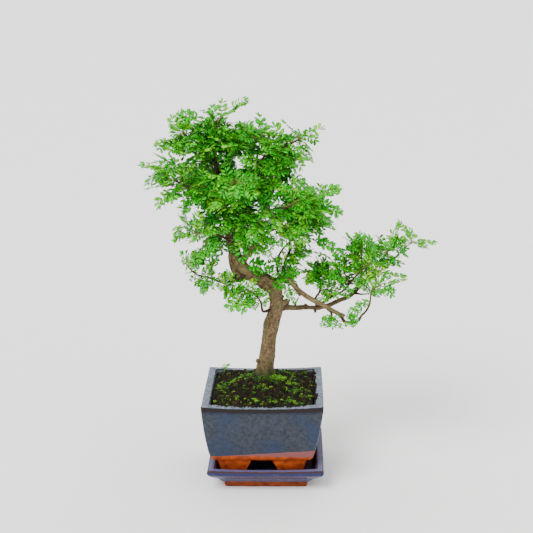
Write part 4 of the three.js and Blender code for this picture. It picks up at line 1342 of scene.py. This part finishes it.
@dataclass
class Leaflet:
    """One leaflet: a thin bent blade with an egg-shaped outline, closed by an upper and a lower skin."""

    rows: int = 5
    cols: int = 3
    thickness: float = 0.32

    def __post_init__(self) -> None:
        """Numbers the points: a full grid above, and the same grid without its rim below."""
        top = np.arange(self.rows * self.cols).reshape(self.rows, self.cols)
        inside = (slice(1, -1), slice(1, -1))
        below = top.copy()
        below[inside] = top.size + np.arange(below[inside].size).reshape(below[inside].shape)
        quad = grid_faces(self.rows, self.cols)
        self.faces = np.concatenate([quad[:, ::-1], below.ravel()[quad]])
        u, v = np.meshgrid(np.linspace(0, 1, self.rows), np.linspace(-1, 1, self.cols), indexing="ij")
        thick = np.zeros_like(u)
        thick[inside] = 0.5
        pairs = ((u, u), (v, v), (thick, -thick))
        self.u, self.v, self.side = (np.concatenate([over.ravel(), under[inside].ravel()]) for over, under in pairs)

    def shell(
        self, root: Array, out: Array, normal: Array, size: Array, wide: Array, tint: Array, curl: Array,
    ) -> Shell:
        """Many leaflets at once.

        Along the leaflet the half width goes as u^0.62 (1 - u^3.2)^0.5, so it is broadest past its middle.
        It bends down as the square of the way along and is folded up a little on both sides of the rib.

        Args:
            root: where each leaflet starts, (M, 3).
            out: its heading.
            normal: its upper side.
            size: its length.
            wide: its width.
            tint: its age.
            curl: how far it bends down, as a share of its length.

        Returns:
            The leaflets as one shell.
        """
        across = np.cross(normal, out)
        outline = np.maximum(self.u, 0.015) ** 0.62 * (1 - np.minimum(self.u, 0.985) ** 3.2) ** 0.5 * 1.18
        y = wide[:, None] / 2 * outline * self.v
        x = size[:, None] * (self.u - 0.05 * self.v**2 * self.u)
        z = 0.22 * np.abs(y) - curl[:, None] * size[:, None] * self.u**2 + self.thickness * self.side
        points = root[:, None] + x[..., None] * out[:, None]
        points = points + y[..., None] * across[:, None] + z[..., None] * normal[:, None]
        count, times = len(self.u), len(root)
        spot = np.tile(np.stack([self.u, self.v, np.zeros(count)], -1), (times, 1))
        return Shell(points.reshape(-1, 3), [copied(self.faces, count, times)], np.repeat(tint, count), spot)


@dataclass
class Foliage:
    """The leafy shoots: the solids' own leaves in finer form, and the many more that fill the crown.

    Attributes:
        centre: middle of the crown, which leaves turn away from.
        lean: how far a leaflet leans forward from square to the rib.
        spacing: distance between leaves along a shoot, and along a twiglet.
        apart: least distance between the tips of twiglets that fill the crown.
        single: length from which a leaf ends its twiglet alone.
        bare_below: below this height and to the left of this X, leaves may hang out of the outlines.
        right: a leaf between these X that has a place of its own may stand out of the outlines.
        seed: starts the random numbers.
        blade: the form of a leaflet.
        rows: the leaves grown so far.
        stems: the stems grown so far, each a line of five points with its shoot.
    """

    centre: tuple[float, float, float] = (-30.0, 0.0, 340.0)
    lean: float = 0.5
    spacing: tuple[float, float] = (8.0, 10.0)
    apart: float = 10.0
    single: float = 35.0
    bare_below: tuple[float, float] = (292.0, 70.0)
    right: tuple[float, float] = (70.0, 188.0)
    seed: int = 77
    blade: Leaflet = field(default_factory=Leaflet)
    rows: list[tuple] = field(default_factory=list)
    stems: list[tuple[Array, int]] = field(default_factory=list)

    def plan(self, index: int) -> tuple[Array, list[tuple[Array, Array, Array, float, int]]]:
        """Where a shoot's stem runs and its leaves stand, by the rule of the solids.

        Args:
            index: which shoot.

        Returns:
            The stem's three control points, and root, heading, upper side, length and pairs of each leaf.
        """
        base, tip, count = SHOOTS[index]
        chance = Chance(101 + 17 * index)
        foot, end = np.array(base, float), np.array(tip, float)
        reach = float(np.linalg.norm(end - foot))
        heading = unit(end - foot)
        outward = unit((foot - np.array(self.centre)) * [1, 1, 0])
        wobble = np.array([chance.draw() - 0.5 for _ in range(3)])
        normal = squared(np.array([0, 0, 0.9]) + 0.5 * outward + 0.7 * wobble, heading)
        last = min(min(34.0, max(27.0, 0.7 * reach)), reach - 4)
        stem_end = end - heading * last
        bulge = (foot + stem_end) / 2 + normal * 0.07 * reach
        leaves = [(stem_end, heading, normal, last, 5)]
        for i in range(1, count):
            t = 1 - i / count * 0.8
            swing = (1 if i % 2 else -1) * (0.9 + 0.25 * chance.draw())
            length = 22 + 6 * chance.draw()
            along = spun(heading, normal, np.array(swing))
            own = squared(spun(normal, heading, np.array((chance.draw() - 0.5) * 0.8)), along)
            leaves.append((bent(foot, bulge, stem_end, t), along, own, length, 4))
        return np.array([foot, bulge, stem_end]), leaves

    def spray(
        self, line: Array, heading: Array, normal: Array, spacing: float, fresh: float, rng: np.random.Generator,
        sizes: tuple[float, float],
    ) -> list[tuple]:
        """Leaves that stand by turns on either side of a stem.

        Args:
            line: the stem's three control points.
            heading: where the stem points.
            normal: its upper side.
            spacing: distance between leaves in mm.
            fresh: age of the leaves, from 0 old to 1 new.
            rng: source of small differences.
            sizes: shortest and longest leaf in mm.

        Returns:
            Root, heading, upper side, length, pairs and age of each leaf.
        """
        foot, bulge, end = line
        count = int(np.linalg.norm(end - foot) / spacing) + 2
        rows = []
        for k, t in enumerate(np.linspace(0.12, 0.94, count)):
            along = spun(heading, normal, np.array((-1) ** k * rng.uniform(0.55, 1.2)))
            along = unit(along + normal * rng.normal(0.05, 0.3))
            own = squared(normal + rng.normal(0, 0.3, 3), along)
            length = rng.uniform(*sizes) * (1.08 - 0.2 * t)
            rows.append((bent(foot, bulge, end, t), along, own, length, 4, fresh + 0.16 * t - 0.08))
        return rows

    @cached_property
    def feet(self) -> Array:
        """Where the shoots leave the wood, one row each."""
        return np.array([base for base, _, _ in SHOOTS], float)

    def nearest(self, place: Array) -> int:
        """The shoot whose foot is nearest to a place."""
        return int(np.argmin(np.linalg.norm(self.feet - place, axis=1)))

    def grow(self, line: Array, leaves: list[tuple], shoot: int) -> None:
        """Adds a stem, from its three control points, and the leaves that it carries to a shoot."""
        self.stems.append((bent(*line, np.linspace(0, 1, 5)[:, None]), shoot))
        self.rows += [(*leaf, shoot) for leaf in leaves]

    def grow_shoots(self, rng: np.random.Generator) -> None:
        """Grows the leaves of the solids, and more along each shoot."""
        for i in range(len(SHOOTS)):
            line, leaves = self.plan(i)
            fresh = 0.3 + 0.25 * rng.random()
            spray = self.spray(line, *leaves[0][1:3], self.spacing[0], fresh, rng, (22, 32))
            more = [leaf for leaf in spray if self.fits(leaf, False)]
            self.grow(line, [(*leaf, fresh + 0.1) for leaf in leaves] + more, i)

    def grow_twiglets(self, rng: np.random.Generator) -> None:
        """Grows a twiglet with leaves to each spray's place, from the nearest twig, rather a lower one.

        A leaf is kept where it fits, and a placed spray's last leaf in any case.
        """
        sites = self.sites()
        for number, (*place, fresh, size) in enumerate((*SPRAYS, *self.filling(rng))):
            tip, placed = np.array(place), number < len(SPRAYS)
            gaps = np.linalg.norm(sites - tip, axis=1) + 0.4 * np.maximum(sites[:, 2] - tip[2], 0)
            foot = sites[int(np.argmin(gaps))]
            reach = float(np.linalg.norm(tip - foot))
            heading = unit(tip - foot + rng.normal(0, 0.12 * reach, 3))
            outward = unit((tip - np.array(self.centre)) * [1, 1, 0.3])
            facing = 0.3 if size >= 20 else 0.9
            normal = squared(np.array([0, 0, 0.8]) + facing * outward + rng.normal(0, 0.42, 3), heading)
            end = tip - heading * min(size, reach) * 0.97
            line = np.array([foot, (foot + end) / 2 + normal * 0.1 * reach, end])
            fresh = fresh + rng.normal(0, 0.1)
            tuft = [(end, heading, normal, size, 4, fresh + 0.1)]
            if size < self.single:
                tuft += self.spray(line, heading, normal, self.spacing[1], fresh, rng, (0.75 * size, size))
            kept = [leaf for k, leaf in enumerate(tuft) if (placed and k == 0) or self.fits(leaf, placed)]
            if kept:
                self.grow(line, kept, self.nearest(foot))

    def grow_singles(self, rng: np.random.Generator) -> None:
        """Grows the single leaves that catch the eye."""
        for start, stop, pairs, fresh in BOLD_LEAVES:
            root, tip = np.array(start, float), np.array(stop, float)
            along = unit(tip - root)
            normal = squared(np.array([0, -0.75, 0.8]) + rng.normal(0, 0.2, 3), along)
            length = float(np.linalg.norm(tip - root))
            self.rows.append((root, along, normal, length, pairs, fresh, self.nearest(root)))

    @staticmethod
    def sites() -> Array:
        """Points every 3 mm along the stretches of limbs that twiglets may leave."""
        lines = [limb.line(3.0) for limb in LIMBS.values()]
        return np.concatenate([line[int(len(line) * BARE.get(name, 0.12)) :] for name, line in zip(LIMBS, lines)])

    def filling(self, rng: np.random.Generator) -> list[tuple[float, ...]]:
        """Tips of sprays that fill the crown's rounded masses, mostly near their outside.

        Returns:
            Place, age and leaf length of each.
        """
        chosen: list[tuple[float, ...]] = []
        for middle, radii, count, fresh in MASSES:
            tries = unit(rng.normal(size=(count * 14, 3))) * rng.random((count * 14, 1)) ** 0.25
            wanted = len(chosen) + count
            for place in np.array(middle) + tries * radii:
                taken = np.array([c[:3] for c in chosen] or [(1e4, 0, 0)])
                if len(chosen) < wanted and np.linalg.norm(taken - place, axis=1).min() > self.apart:
                    chosen.append((*place, fresh + rng.normal(0, 0.1), rng.uniform(26, 36)))
        return chosen

    @staticmethod
    def sighted(place: Array) -> Array:
        """X and height where the line from the photograph's viewpoint through a place meets the plane Y = 0."""
        eye = np.array(Studio.place)
        return (eye + (place - eye) * eye[1] / (eye[1] - place[1]))[[0, 2]]

    def in_gap(self, place: Array) -> bool:
        """True where a leaf would close one of the crown's gaps."""
        x, z = self.sighted(place)
        return any(math.hypot(x - gx, z - gz) < radius + 2 for gx, gz, radius in GAPS)

    def in_outline(self, place: Array) -> bool:
        """True inside an outline: a ray to the right of the place crosses it an odd number of times."""
        x, z = self.sighted(place)
        for outline in OUTLINES:
            corners = np.array(outline, float)
            (x0, z0), (x1, z1) = corners.T, np.roll(corners, -1, axis=0).T
            crosses = (z0 > z) != (z1 > z)
            at = x0 + (z - z0) * (x1 - x0) / np.where(z1 == z0, 1.0, z1 - z0)
            if (crosses & (at > x)).sum() % 2:
                return True
        return False

    def fits(self, leaf: tuple, placed: bool) -> bool:
        """Tells whether a leaf may stay.

        Args:
            leaf: the leaf.
            placed: it belongs to a spray in a place of its own, which may reach over a gap.

        Returns:
            True where it keeps the gaps open and ends inside an outline, or hangs below them, or has a place
            of its own on the right.
        """
        root, along, _, length = leaf[:4]
        if not placed and self.in_gap(root + along * length * 0.6):
            return False
        tip = root + along * length * 0.92
        x, z = self.sighted(tip)
        low, left = self.bare_below
        hangs, stands = z < low and x < left, placed and self.right[0] < x < self.right[1]
        return hangs or stands or self.in_outline(tip)

    def leaf_shells(self, leaves: Leaves, rng: np.random.Generator) -> list[Shell]:
        """Ribs and leaflets of a set of leaves.

        The rib bends down by arch x^2 / length, with an arch of 0.08 to 0.3. Leaflets stand along it in
        pairs between 0.17 and 0.83 of its length, largest in the middle of it, and one more, smaller, ends it.

        Args:
            leaves: the leaves.
            rng: source of small differences.

        Returns:
            One shell of leaflets and one of ribs.
        """
        most = int(leaves.pairs.max())
        number = np.arange(2 * most + 1)[None]
        side = np.where(number % 2, -1.0, 1.0)
        pairs, length, base = leaves.pairs[:, None], leaves.length[:, None], leaves.root[:, None]
        along, normal = leaves.along[:, None], leaves.normal[:, None]
        ends = number == 2 * most
        real = (number // 2 < pairs) | ends
        way = (number // 2 + 0.5) / pairs
        share = np.where(ends, 0.78, 0.17 + 0.66 * way)
        arch = rng.uniform(0.08, 0.3, length.shape)
        across = np.cross(normal, along)
        forward = unit(along - (2 * arch * share)[..., None] * normal)
        upper = np.cross(forward, across)
        root = base + along * (share * length)[..., None] - normal * (arch * share**2 * length)[..., None]
        lean = np.where(ends, math.pi / 2, self.lean + rng.normal(0, 0.12, share.shape))
        out = forward * np.sin(lean)[..., None] + across * (np.cos(lean) * side)[..., None]
        own = spun(upper, out, rng.normal(0, 0.42, share.shape))
        out = unit(out + own * rng.normal(0.12, 0.12, share.shape)[..., None])
        own = squared(own, out)
        swell = 0.78 + 0.22 * np.sin(math.pi * np.clip(way, 0, 1))
        swell = swell * np.where(pairs < 4, 4 / pairs, np.where(length < 28, 1.15, 1.0))
        size = length * np.where(ends, 0.27, 0.3) * swell * rng.uniform(0.85, 1.15, share.shape)
        wide = size * rng.uniform(0.54, 0.7, share.shape)
        tint = np.clip(leaves.tint[:, None] + rng.normal(0, 0.1, share.shape), 0, 1)
        curl = rng.uniform(0.02, 0.22, share.shape)
        blades = self.blade.shell(*(k[real] for k in (root, out, own, size, wide, tint, curl)))
        t = np.linspace(0, 0.8, 5)
        rib = base + along * (t * length)[..., None] - normal * (arch * t**2 * length)[..., None]
        ribs = tubes(rib, 0.36 - 0.22 * t, 4)
        ribs.finish, ribs.tint = 1, 0.1
        return [blades, ribs]

    def build(self) -> None:
        """Makes one piece for each shoot, with the leaves that stand nearest to it."""
        rng = np.random.default_rng(self.seed)
        self.grow_shoots(rng)
        self.grow_twiglets(rng)
        self.grow_singles(rng)
        leaves = Leaves(*(np.array(column) for column in zip(*self.rows)))
        finishes = [LeafSkin().material(), GreenStem().material()]
        for i in range(len(SHOOTS)):
            shells = self.leaf_shells(leaves.chosen(leaves.shoot == i), rng)
            own = np.array([line for line, near in self.stems if near == i])
            thick = [np.linspace(0.95, 0.5, 5)] + [np.linspace(0.5, 0.36, 5)] * (len(own) - 1)
            shoots = tubes(own, np.array(thick), 5)
            shoots.finish, shoots.tint = 1, 0.55
            put(f"leafy_shoot_{i + 1:02d}", [*shells, shoots], finishes, [f"shoot_{i + 1:02d}"])
        LOG.info("leaves: %d", len(self.rows))


# Share of a limb that is bare of leaves from its foot on, where it isn't the first 0.12
BARE = {
    "trunk": 0.62, "upper_right": 1.0, "stub": 1.0, "peg": 0.5, "knob": 1.0, "spur": 0.5, "lower_right": 0.6,
    "hooked": 0.3, "riser": 0.0, "left_low": 0.2, "fork": 0.3, "inner_right": 0.4, "below_arm": 0.45,
    "base_stub": 1.0, "upper_knot": 1.0, "upper_knob": 1.0, "lower_bump": 1.0, "lower_spur": 1.0, "lower_peg": 1.0,
    "collar": 1.0, "collar_nub": 1.0, "left_strand": 1.0, "left_stub": 1.0, "arm_strand": 1.0,
}

# Where sky or trunk shows through the crown, seen from the photograph's viewpoint: X, height and radius in mm
GAPS = (
    (-29, 407, 8), (-34, 400, 5), (-57, 415, 3), (-1, 388, 3), (1, 336, 4), (28, 331, 4), (14, 293, 11),
    (-1, 297, 9), (-11, 292, 7), (43, 308, 5), (54, 320, 4), (-44, 312, 7), (-43, 298, 8), (-38, 286, 9),
    (-36, 273, 10), (-51, 279, 5),
)

# Jagged outlines of the crown and of the right-hand cluster, seen from there: X and height in mm
OUTLINES = (
    (
        (-18, 486), (-16, 482), (-28, 475), (-39, 465), (-44, 458), (-33, 454), (-21, 457), (-9, 451),
        (16, 443), (16, 437), (27, 444), (44, 447), (60, 450), (54, 442), (39, 431), (39, 424), (54, 421),
        (64, 415), (62, 410), (47, 413), (32, 409), (42, 402), (34, 398), (42, 392), (47, 382), (51, 376),
        (64, 381), (73, 381), (94, 374), (76, 367), (59, 365), (61, 360), (73, 358), (83, 351), (97, 344),
        (76, 342), (71, 336), (89, 328), (69, 322), (66, 318), (78, 313), (76, 307), (59, 299), (44, 294),
        (29, 297), (14, 302), (-3, 302), (-13, 294), (-21, 277), (-31, 277), (-36, 287), (-48, 292),
        (-53, 287), (-63, 274), (-73, 279), (-88, 284), (-89, 300), (-80, 307), (-72, 312), (-87, 310),
        (-95, 316), (-117, 310), (-118, 315), (-104, 325), (-92, 335), (-74, 345), (-91, 350), (-105, 342),
        (-109, 347), (-103, 355), (-116, 358), (-136, 349), (-138, 354), (-125, 367), (-124, 377), (-149, 378),
        (-149, 382), (-138, 389), (-132, 392), (-155, 407), (-153, 410), (-139, 408), (-133, 406), (-132, 411),
        (-119, 415), (-107, 414), (-104, 417), (-116, 421), (-135, 419), (-134, 422), (-137, 430), (-136, 433),
        (-118, 434), (-105, 434), (-106, 439), (-108, 443), (-94, 449), (-112, 453), (-110, 456), (-91, 458),
        (-108, 465), (-107, 469), (-88, 469), (-71, 463), (-64, 468), (-54, 469), (-50, 464), (-35, 475),
    ),
    (
        (99, 317), (110, 312), (117, 321), (120, 319), (130, 315), (140, 310), (152, 306), (157, 314),
        (164, 324), (170, 333), (173, 329), (169, 319), (185, 319), (187, 315), (177, 306), (201, 311),
        (204, 308), (189, 296), (180, 286), (170, 278), (165, 268), (156, 263), (148, 255), (158, 246),
        (153, 240), (136, 235), (121, 243), (106, 237), (94, 232), (74, 230), (69, 243), (76, 256), (59, 256),
        (56, 276), (66, 286), (54, 298), (71, 302), (86, 299), (101, 302), (108, 307),
    ),
)

# Single leaves on the trunk, the arm, the crown's edge and the bend: root and tip in mm, pairs of leaflets, and age
BOLD_LEAVES = (
    ((-30, -13, 308), (-26, -27, 286), 3, 0.35), ((-25, -14, 312), (-15, -28, 297), 3, 0.4),
    ((-34, -10, 310), (-41, -20, 297), 3, 0.35), ((-27, -14, 279), (6, -24, 281), 5, 0.3),
    ((-23, -14, 275), (-3, -20, 288), 4, 0.35), ((-8, -11, 267), (14, -18, 278), 4, 0.35),
    ((8, -8, 259), (23, -22, 252), 3, 0.25), ((10, -6, 260), (29, -16, 265), 3, 0.3),
    ((14, -6, 260), (23, -14, 275), 3, 0.35), ((-3, -8, 262), (-9, -20, 276), 3, 0.35),
    ((-42, -2, 469), (-18, -6, 485), 5, 0.45), ((-72, -6, 458), (-102, -14, 467), 5, 0.35),
    ((-76, -6, 459), (-90, -10, 469), 3, 0.3), ((63, -46, 376), (93, -54, 384), 6, 0.5),
    ((70, -48, 359), (94, -56, 353), 5, 0.4), ((58, -16, 307), (87, -26, 309), 6, 0.35),
    ((78, -16, 307), (99, -24, 291), 5, 0.35), ((2, -30, 324), (14, -38, 312), 4, 0.35),
    ((17, -30, 324), (9, -38, 312), 4, 0.4), ((24, -26, 318), (18, -34, 306), 4, 0.4),
    ((5, -28, 314), (-2, -34, 304), 3, 0.45), ((24, -12, 249), (34, -18, 236), 4, 0.5),
    ((28, -12, 246), (40, -18, 244), 3, 0.45), ((31, -10, 237), (40, -14, 230), 3, 0.5),
)

# Rounded masses of foliage: middle and radii in mm, number of sprays, and age
MASSES = (
    ((-61, 0, 440), (22, 20, 21), 17, 0.32), ((-25, 0, 436), (40, 30, 18), 26, 0.33),
    ((23, -4, 427), (36, 34, 22), 21, 0.36), ((-86, -4, 422), (33, 34, 24), 14, 0.36),
    ((-101, -6, 392), (42, 44, 26), 14, 0.44), ((-47, 0, 397), (60, 60, 44), 64, 0.3),
    ((15, 2, 392), (42, 52, 30), 33, 0.34), ((-32, 0, 356), (66, 66, 36), 59, 0.3),
    ((39, -2, 363), (42, 54, 28), 28, 0.33), ((-78, -6, 365), (36, 46, 22), 11, 0.46),
    ((-15, 0, 324), (56, 54, 22), 24, 0.4), ((49, -2, 331), (40, 50, 22), 17, 0.36),
    ((-66, -4, 303), (28, 34, 18), 12, 0.34), ((133, 16, 262), (36, 44, 24), 12, 0.5),
)

# Sprays in the places that the photograph shows: tip in mm, age, and leaf length in mm
SPRAYS = (
    # below the arm
    (-46, -20, 233, 0.45, 22), (-45, -20, 246, 0.5, 22), (-41, -14, 256, 0.5, 18), (-35, -18, 251, 0.45, 22),
    (-33, -22, 238, 0.4, 20), (-24, -22, 239, 0.45, 20), (-33, -8, 247, 0.5, 20), (-18, -18, 252, 0.5, 20),
    (-11, -22, 244, 0.45, 18), (-3, -14, 240, 0.55, 18), (1, -8, 230, 0.5, 16), (-8, -10, 234, 0.5, 16),
    (-22, -12, 232, 0.4, 18), (-25, -26, 246, 0.5, 20), (-14, -26, 236, 0.45, 16),
    # along the low left twig
    (-76, -26, 290, 0.6, 16), (-57, -20, 289, 0.65, 15), (-94, -20, 281, 0.65, 15), (-68, -36, 285, 0.6, 15),
    (-47, -16, 274, 0.65, 15), (-78, -30, 246, 0.5, 22),
    (-64, -34, 255, 0.5, 18), (-84, -26, 258, 0.5, 16), (-54, -34, 266, 0.6, 16), (-46, -30, 272, 0.6, 15),
    (-89, -12, 271, 0.65, 14), (-75, -26, 274, 0.6, 15), (-64, -24, 268, 0.55, 15), (-54, -22, 270, 0.6, 14),
    (-50, -20, 262, 0.55, 14),
    # in front of the trunk
    (-64, -28, 288, 0.35, 39), (-70, -20, 298, 0.25, 32),
    # on the arm
    (-19, -20, 288, 0.4, 18), (5, -26, 277, 0.35, 18),
    # hanging over the arm
    (-2, -34, 303, 0.5, 17), (9, -38, 297, 0.5, 17), (18, -30, 288, 0.5, 16), (3, -14, 285, 0.5, 15),
    (25, -20, 294, 0.5, 16), (12, -32, 304, 0.45, 18), (3, -34, 297, 0.5, 16),
    # at the bend
    (34, -16, 238, 0.5, 17), (30, -12, 248, 0.45, 17), (27, -14, 241, 0.5, 15),
    # round the riser
    (40, -8, 282, 0.45, 22), (49, -14, 282, 0.45, 22), (39, -14, 270, 0.4, 22), (44, -14, 257, 0.45, 22),
    (51, 6, 267, 0.5, 22), (33, -16, 283, 0.4, 20), (28, 8, 269, 0.4, 20), (55, -8, 263, 0.5, 22),
    (46, -20, 296, 0.4, 24), (41, -8, 265, 0.4, 20), (48, -8, 259, 0.4, 20), (36, -12, 258, 0.4, 18),
    (48, -10, 271, 0.4, 20),
    # under the crown at the right
    (44, -22, 306, 0.4, 30), (58, -18, 307, 0.45, 30), (67, -12, 297, 0.45, 30), (53, -28, 298, 0.4, 30),
    (78, -16, 313, 0.4, 32),
    # fork
    (70, 0, 279, 0.4, 24), (61, 10, 276, 0.45, 22), (77, 2, 273, 0.4, 22), (81, -6, 268, 0.45, 22),
    (62, -8, 269, 0.5, 22), (91, 4, 260, 0.45, 26), (59, 8, 254, 0.5, 20), (73, -8, 254, 0.5, 22),
    (66, 4, 286, 0.4, 24),
    # low middle
    (81, 0, 249, 0.55, 22), (76, -6, 244, 0.55, 22), (86, 10, 241, 0.5, 22), (93, -6, 242, 0.5, 22),
    (99, 6, 248, 0.45, 22), (88, -10, 238, 0.55, 20), (74, 4, 233, 0.5, 20),
    # hooked twig
    (121, -42, 238, 0.3, 18), (108, -44, 228, 0.4, 20), (103, -40, 221, 0.4, 16),
    (83, -40, 215, 0.3, 20), (89, -36, 209, 0.3, 20), (96, -44, 214, 0.4, 16), (72, -32, 211, 0.65, 16),
    # low right leaves
    (170, -48, 277, 0.45, 37), (149, -52, 256, 0.35, 22), (141, -44, 254, 0.35, 18),
    # right branch
    (171, 24, 327, 0.53, 24), (184, 18, 306, 0.48, 26), (199, 10, 303, 0.48, 34), (174, 12, 299, 0.4, 26),
    (102, 10, 313, 0.43, 30), (118, 0, 319, 0.43, 28), (131, 18, 310, 0.33, 26),
    (138, 4, 308, 0.28, 26), (150, 28, 296, 0.38, 26), (159, 16, 303, 0.53, 26), (163, 6, 292, 0.58, 26),
    (163, 10, 283, 0.4, 26), (154, -2, 279, 0.4, 24), (133, -8, 252, 0.4, 22),
    (56, -8, 301, 0.58, 30), (72, 0, 292, 0.48, 28), (78, 10, 280, 0.43, 26), (87, -6, 295, 0.38, 26),
    (97, 8, 297, 0.38, 26), (109, 18, 297, 0.33, 26), (121, 2, 297, 0.38, 26), (93, -8, 286, 0.43, 26),
    (106, 16, 284, 0.33, 26), (118, -6, 285, 0.38, 26), (131, 10, 289, 0.33, 26), (102, 4, 270, 0.43, 26),
    (115, 18, 268, 0.38, 26), (125, -10, 279, 0.38, 26), (140, 14, 275, 0.38, 26), (91, 0, 267, 0.43, 24),
    (106, 10, 254, 0.38, 24), (118, -12, 264, 0.43, 24), (128, 4, 265, 0.33, 26), (100, 4, 245, 0.43, 21),
    (114, 8, 246, 0.43, 21), (124, -4, 251, 0.43, 21), (85, 14, 270, 0.43, 24),
    (150, 34, 283, 0.43, 26), (137, 30, 292, 0.38, 26), (158, 40, 279, 0.43, 26),
    # crown, left edge
    (-104, -8, 467, 0.5, 30), (-106, -16, 456, 0.4, 30), (-105, 0, 443, 0.45, 30), (-133, -20, 434, 0.45, 32),
    (-130, -8, 421, 0.45, 32), (-145, -44, 415, 0.6, 34), (-140, -52, 387, 0.65, 32),
    (-130, -46, 361, 0.5, 32), (-100, -40, 351, 0.5, 30), (-110, -44, 323, 0.45, 34),
    (-95, -36, 323, 0.35, 32), (-118, -40, 404, 0.55, 32), (-126, -30, 393, 0.5, 32),
    (-114, -36, 373, 0.45, 32), (-94, -30, 337, 0.45, 30), (-80, -50, 351, 0.75, 30), (-65, -56, 361, 0.8, 30),
    (-53, -60, 357, 0.75, 30),
    # crown, top and right edge
    (-18, -2, 483, 0.5, 34), (-64, -4, 465, 0.3, 29), (-50, 6, 462, 0.4, 29), (17, -20, 443, 0.4, 34),
    (41, -22, 438, 0.5, 32), (58, -24, 443, 0.55, 34), (61, -30, 417, 0.55, 34), (41, -34, 407, 0.5, 34),
    (45, -40, 388, 0.45, 34), (90, -54, 384, 0.6, 36), (92, -58, 357, 0.5, 34), (86, -52, 338, 0.45, 34),
    (70, -50, 376, 0.35, 34), (63, -48, 360, 0.35, 34), (76, -30, 344, 0.4, 34), (30, -30, 397, 0.4, 34),
    (51, -20, 398, 0.4, 34), (35, -10, 420, 0.45, 31), (49, -16, 430, 0.45, 31), (-1, -10, 452, 0.4, 31),
    (-28, 0, 448, 0.4, 31), (-14, -20, 442, 0.35, 34),
)


# Studio


class Softbox(Enum):
    """Far softboxes: where each stands from the object, its breadth in degrees and its strength in W/m2."""

    KEY = ((-0.55, -0.8, 1.0), 32.0, 4.2)
    FILL = ((1.0, -0.7, 0.45), 60.0, 1.1)
    TOP = ((0.1, 0.35, 1.0), 50.0, 1.5)


def stood(name: str, data: bpy.types.ID, axes: Sequence[Array], place: Array) -> bpy.types.Object:
    """Puts a camera or lamp in the scene, with axes that it turns to and its place in metres."""
    thing = bpy.data.objects.new(name, data)
    thing.matrix_world = Matrix([*np.column_stack([*axes, place]).tolist(), [0, 0, 0, 1]])
    bpy.context.scene.collection.objects.link(thing)
    return thing


@dataclass
class Studio:
    """A pale plain floor under soft light, and the photograph's camera.

    Attributes:
        lens: focal length in mm on a sensor 36 mm wide.
        place: the camera's place in mm.
        pitch: how far it looks down, in degrees.
        yaw: how far it turns to the right of +Y, in degrees.
        roll: how far it tips, in degrees.
        surround: strength of the white surround.
        half: half width of the floor in metres.
    """

    lens: float = 77.0
    place: tuple[float, float, float] = (41.63, -1374.54, 622.05)
    pitch: float = 14.232
    yaw: float = -1.648
    roll: float = -0.593
    surround: float = 0.8
    half: float = 60.0

    def camera(self) -> None:
        """Sets the camera: its forward axis comes from yaw and pitch, and its sides from the roll."""
        p, y, r = (math.radians(a) for a in (self.pitch, self.yaw, self.roll))
        ahead = np.array([math.sin(y) * math.cos(p), math.cos(y) * math.cos(p), -math.sin(p)])
        level = np.array([math.cos(y), -math.sin(y), 0])
        raised = np.cross(level, ahead)
        right = math.cos(r) * level + math.sin(r) * raised
        up = math.cos(r) * raised - math.sin(r) * level
        data = bpy.data.cameras.new("photo_camera")
        data.lens, data.sensor_width = self.lens, 36.0
        data.clip_start, data.clip_end = 0.05, 120.0
        bpy.context.scene.camera = stood("photo_camera", data, (right, up, -ahead), np.array(self.place) * MM)

    def floor(self) -> None:
        """A wide plain floor, painted nearly white."""
        mesh = bpy.data.meshes.new("studio_floor")
        far = self.half
        mesh.from_pydata([(-far, -far, 0), (far, -far, 0), (far, far, 0), (-far, far, 0)], [], [(0, 1, 2, 3)])
        shader = Shader("pale_floor_paint")
        surface = shader.add("BsdfPrincipled", {"Base Color": linear("#faf9f8"), "Roughness": 0.9})
        shader.add("OutputMaterial", {"Surface": surface})
        mesh.materials.append(shader.material)
        floor = bpy.data.objects.new("studio_floor", mesh)
        bpy.context.scene.collection.objects.link(floor)

    def lights(self) -> None:
        """Three large softboxes and a white surround."""
        for box in Softbox:
            place, breadth, power = box.value
            data = bpy.data.lights.new(box.name.lower() + "_softbox", "SUN")
            data.angle, data.energy = math.radians(breadth), power
            back = unit(np.array(place))
            side = unit(np.cross([0, 0, 1.0], back))
            stood(data.name, data, (side, np.cross(back, side), back), 3 * back)
        world = bpy.data.worlds.new("white_surround")
        world.use_nodes = True
        surround = world.node_tree.nodes["Background"].inputs
        surround["Color"].default_value, surround["Strength"].default_value = linear("#ffffff"), self.surround
        bpy.context.scene.world = world

    def build(self) -> None:
        """Sets up camera, floor and lights."""
        self.camera()
        self.floor()
        self.lights()


def main() -> None:
    """Builds the studio and every piece."""
    logging.basicConfig(level=logging.INFO, format="%(name)s %(message)s")
    for part in (Studio(), Ware(), Ground(), Wood(), Foliage()):
        LOG.info("building %s", type(part).__name__)
        part.build()


if __name__ == "__main__":
    main()
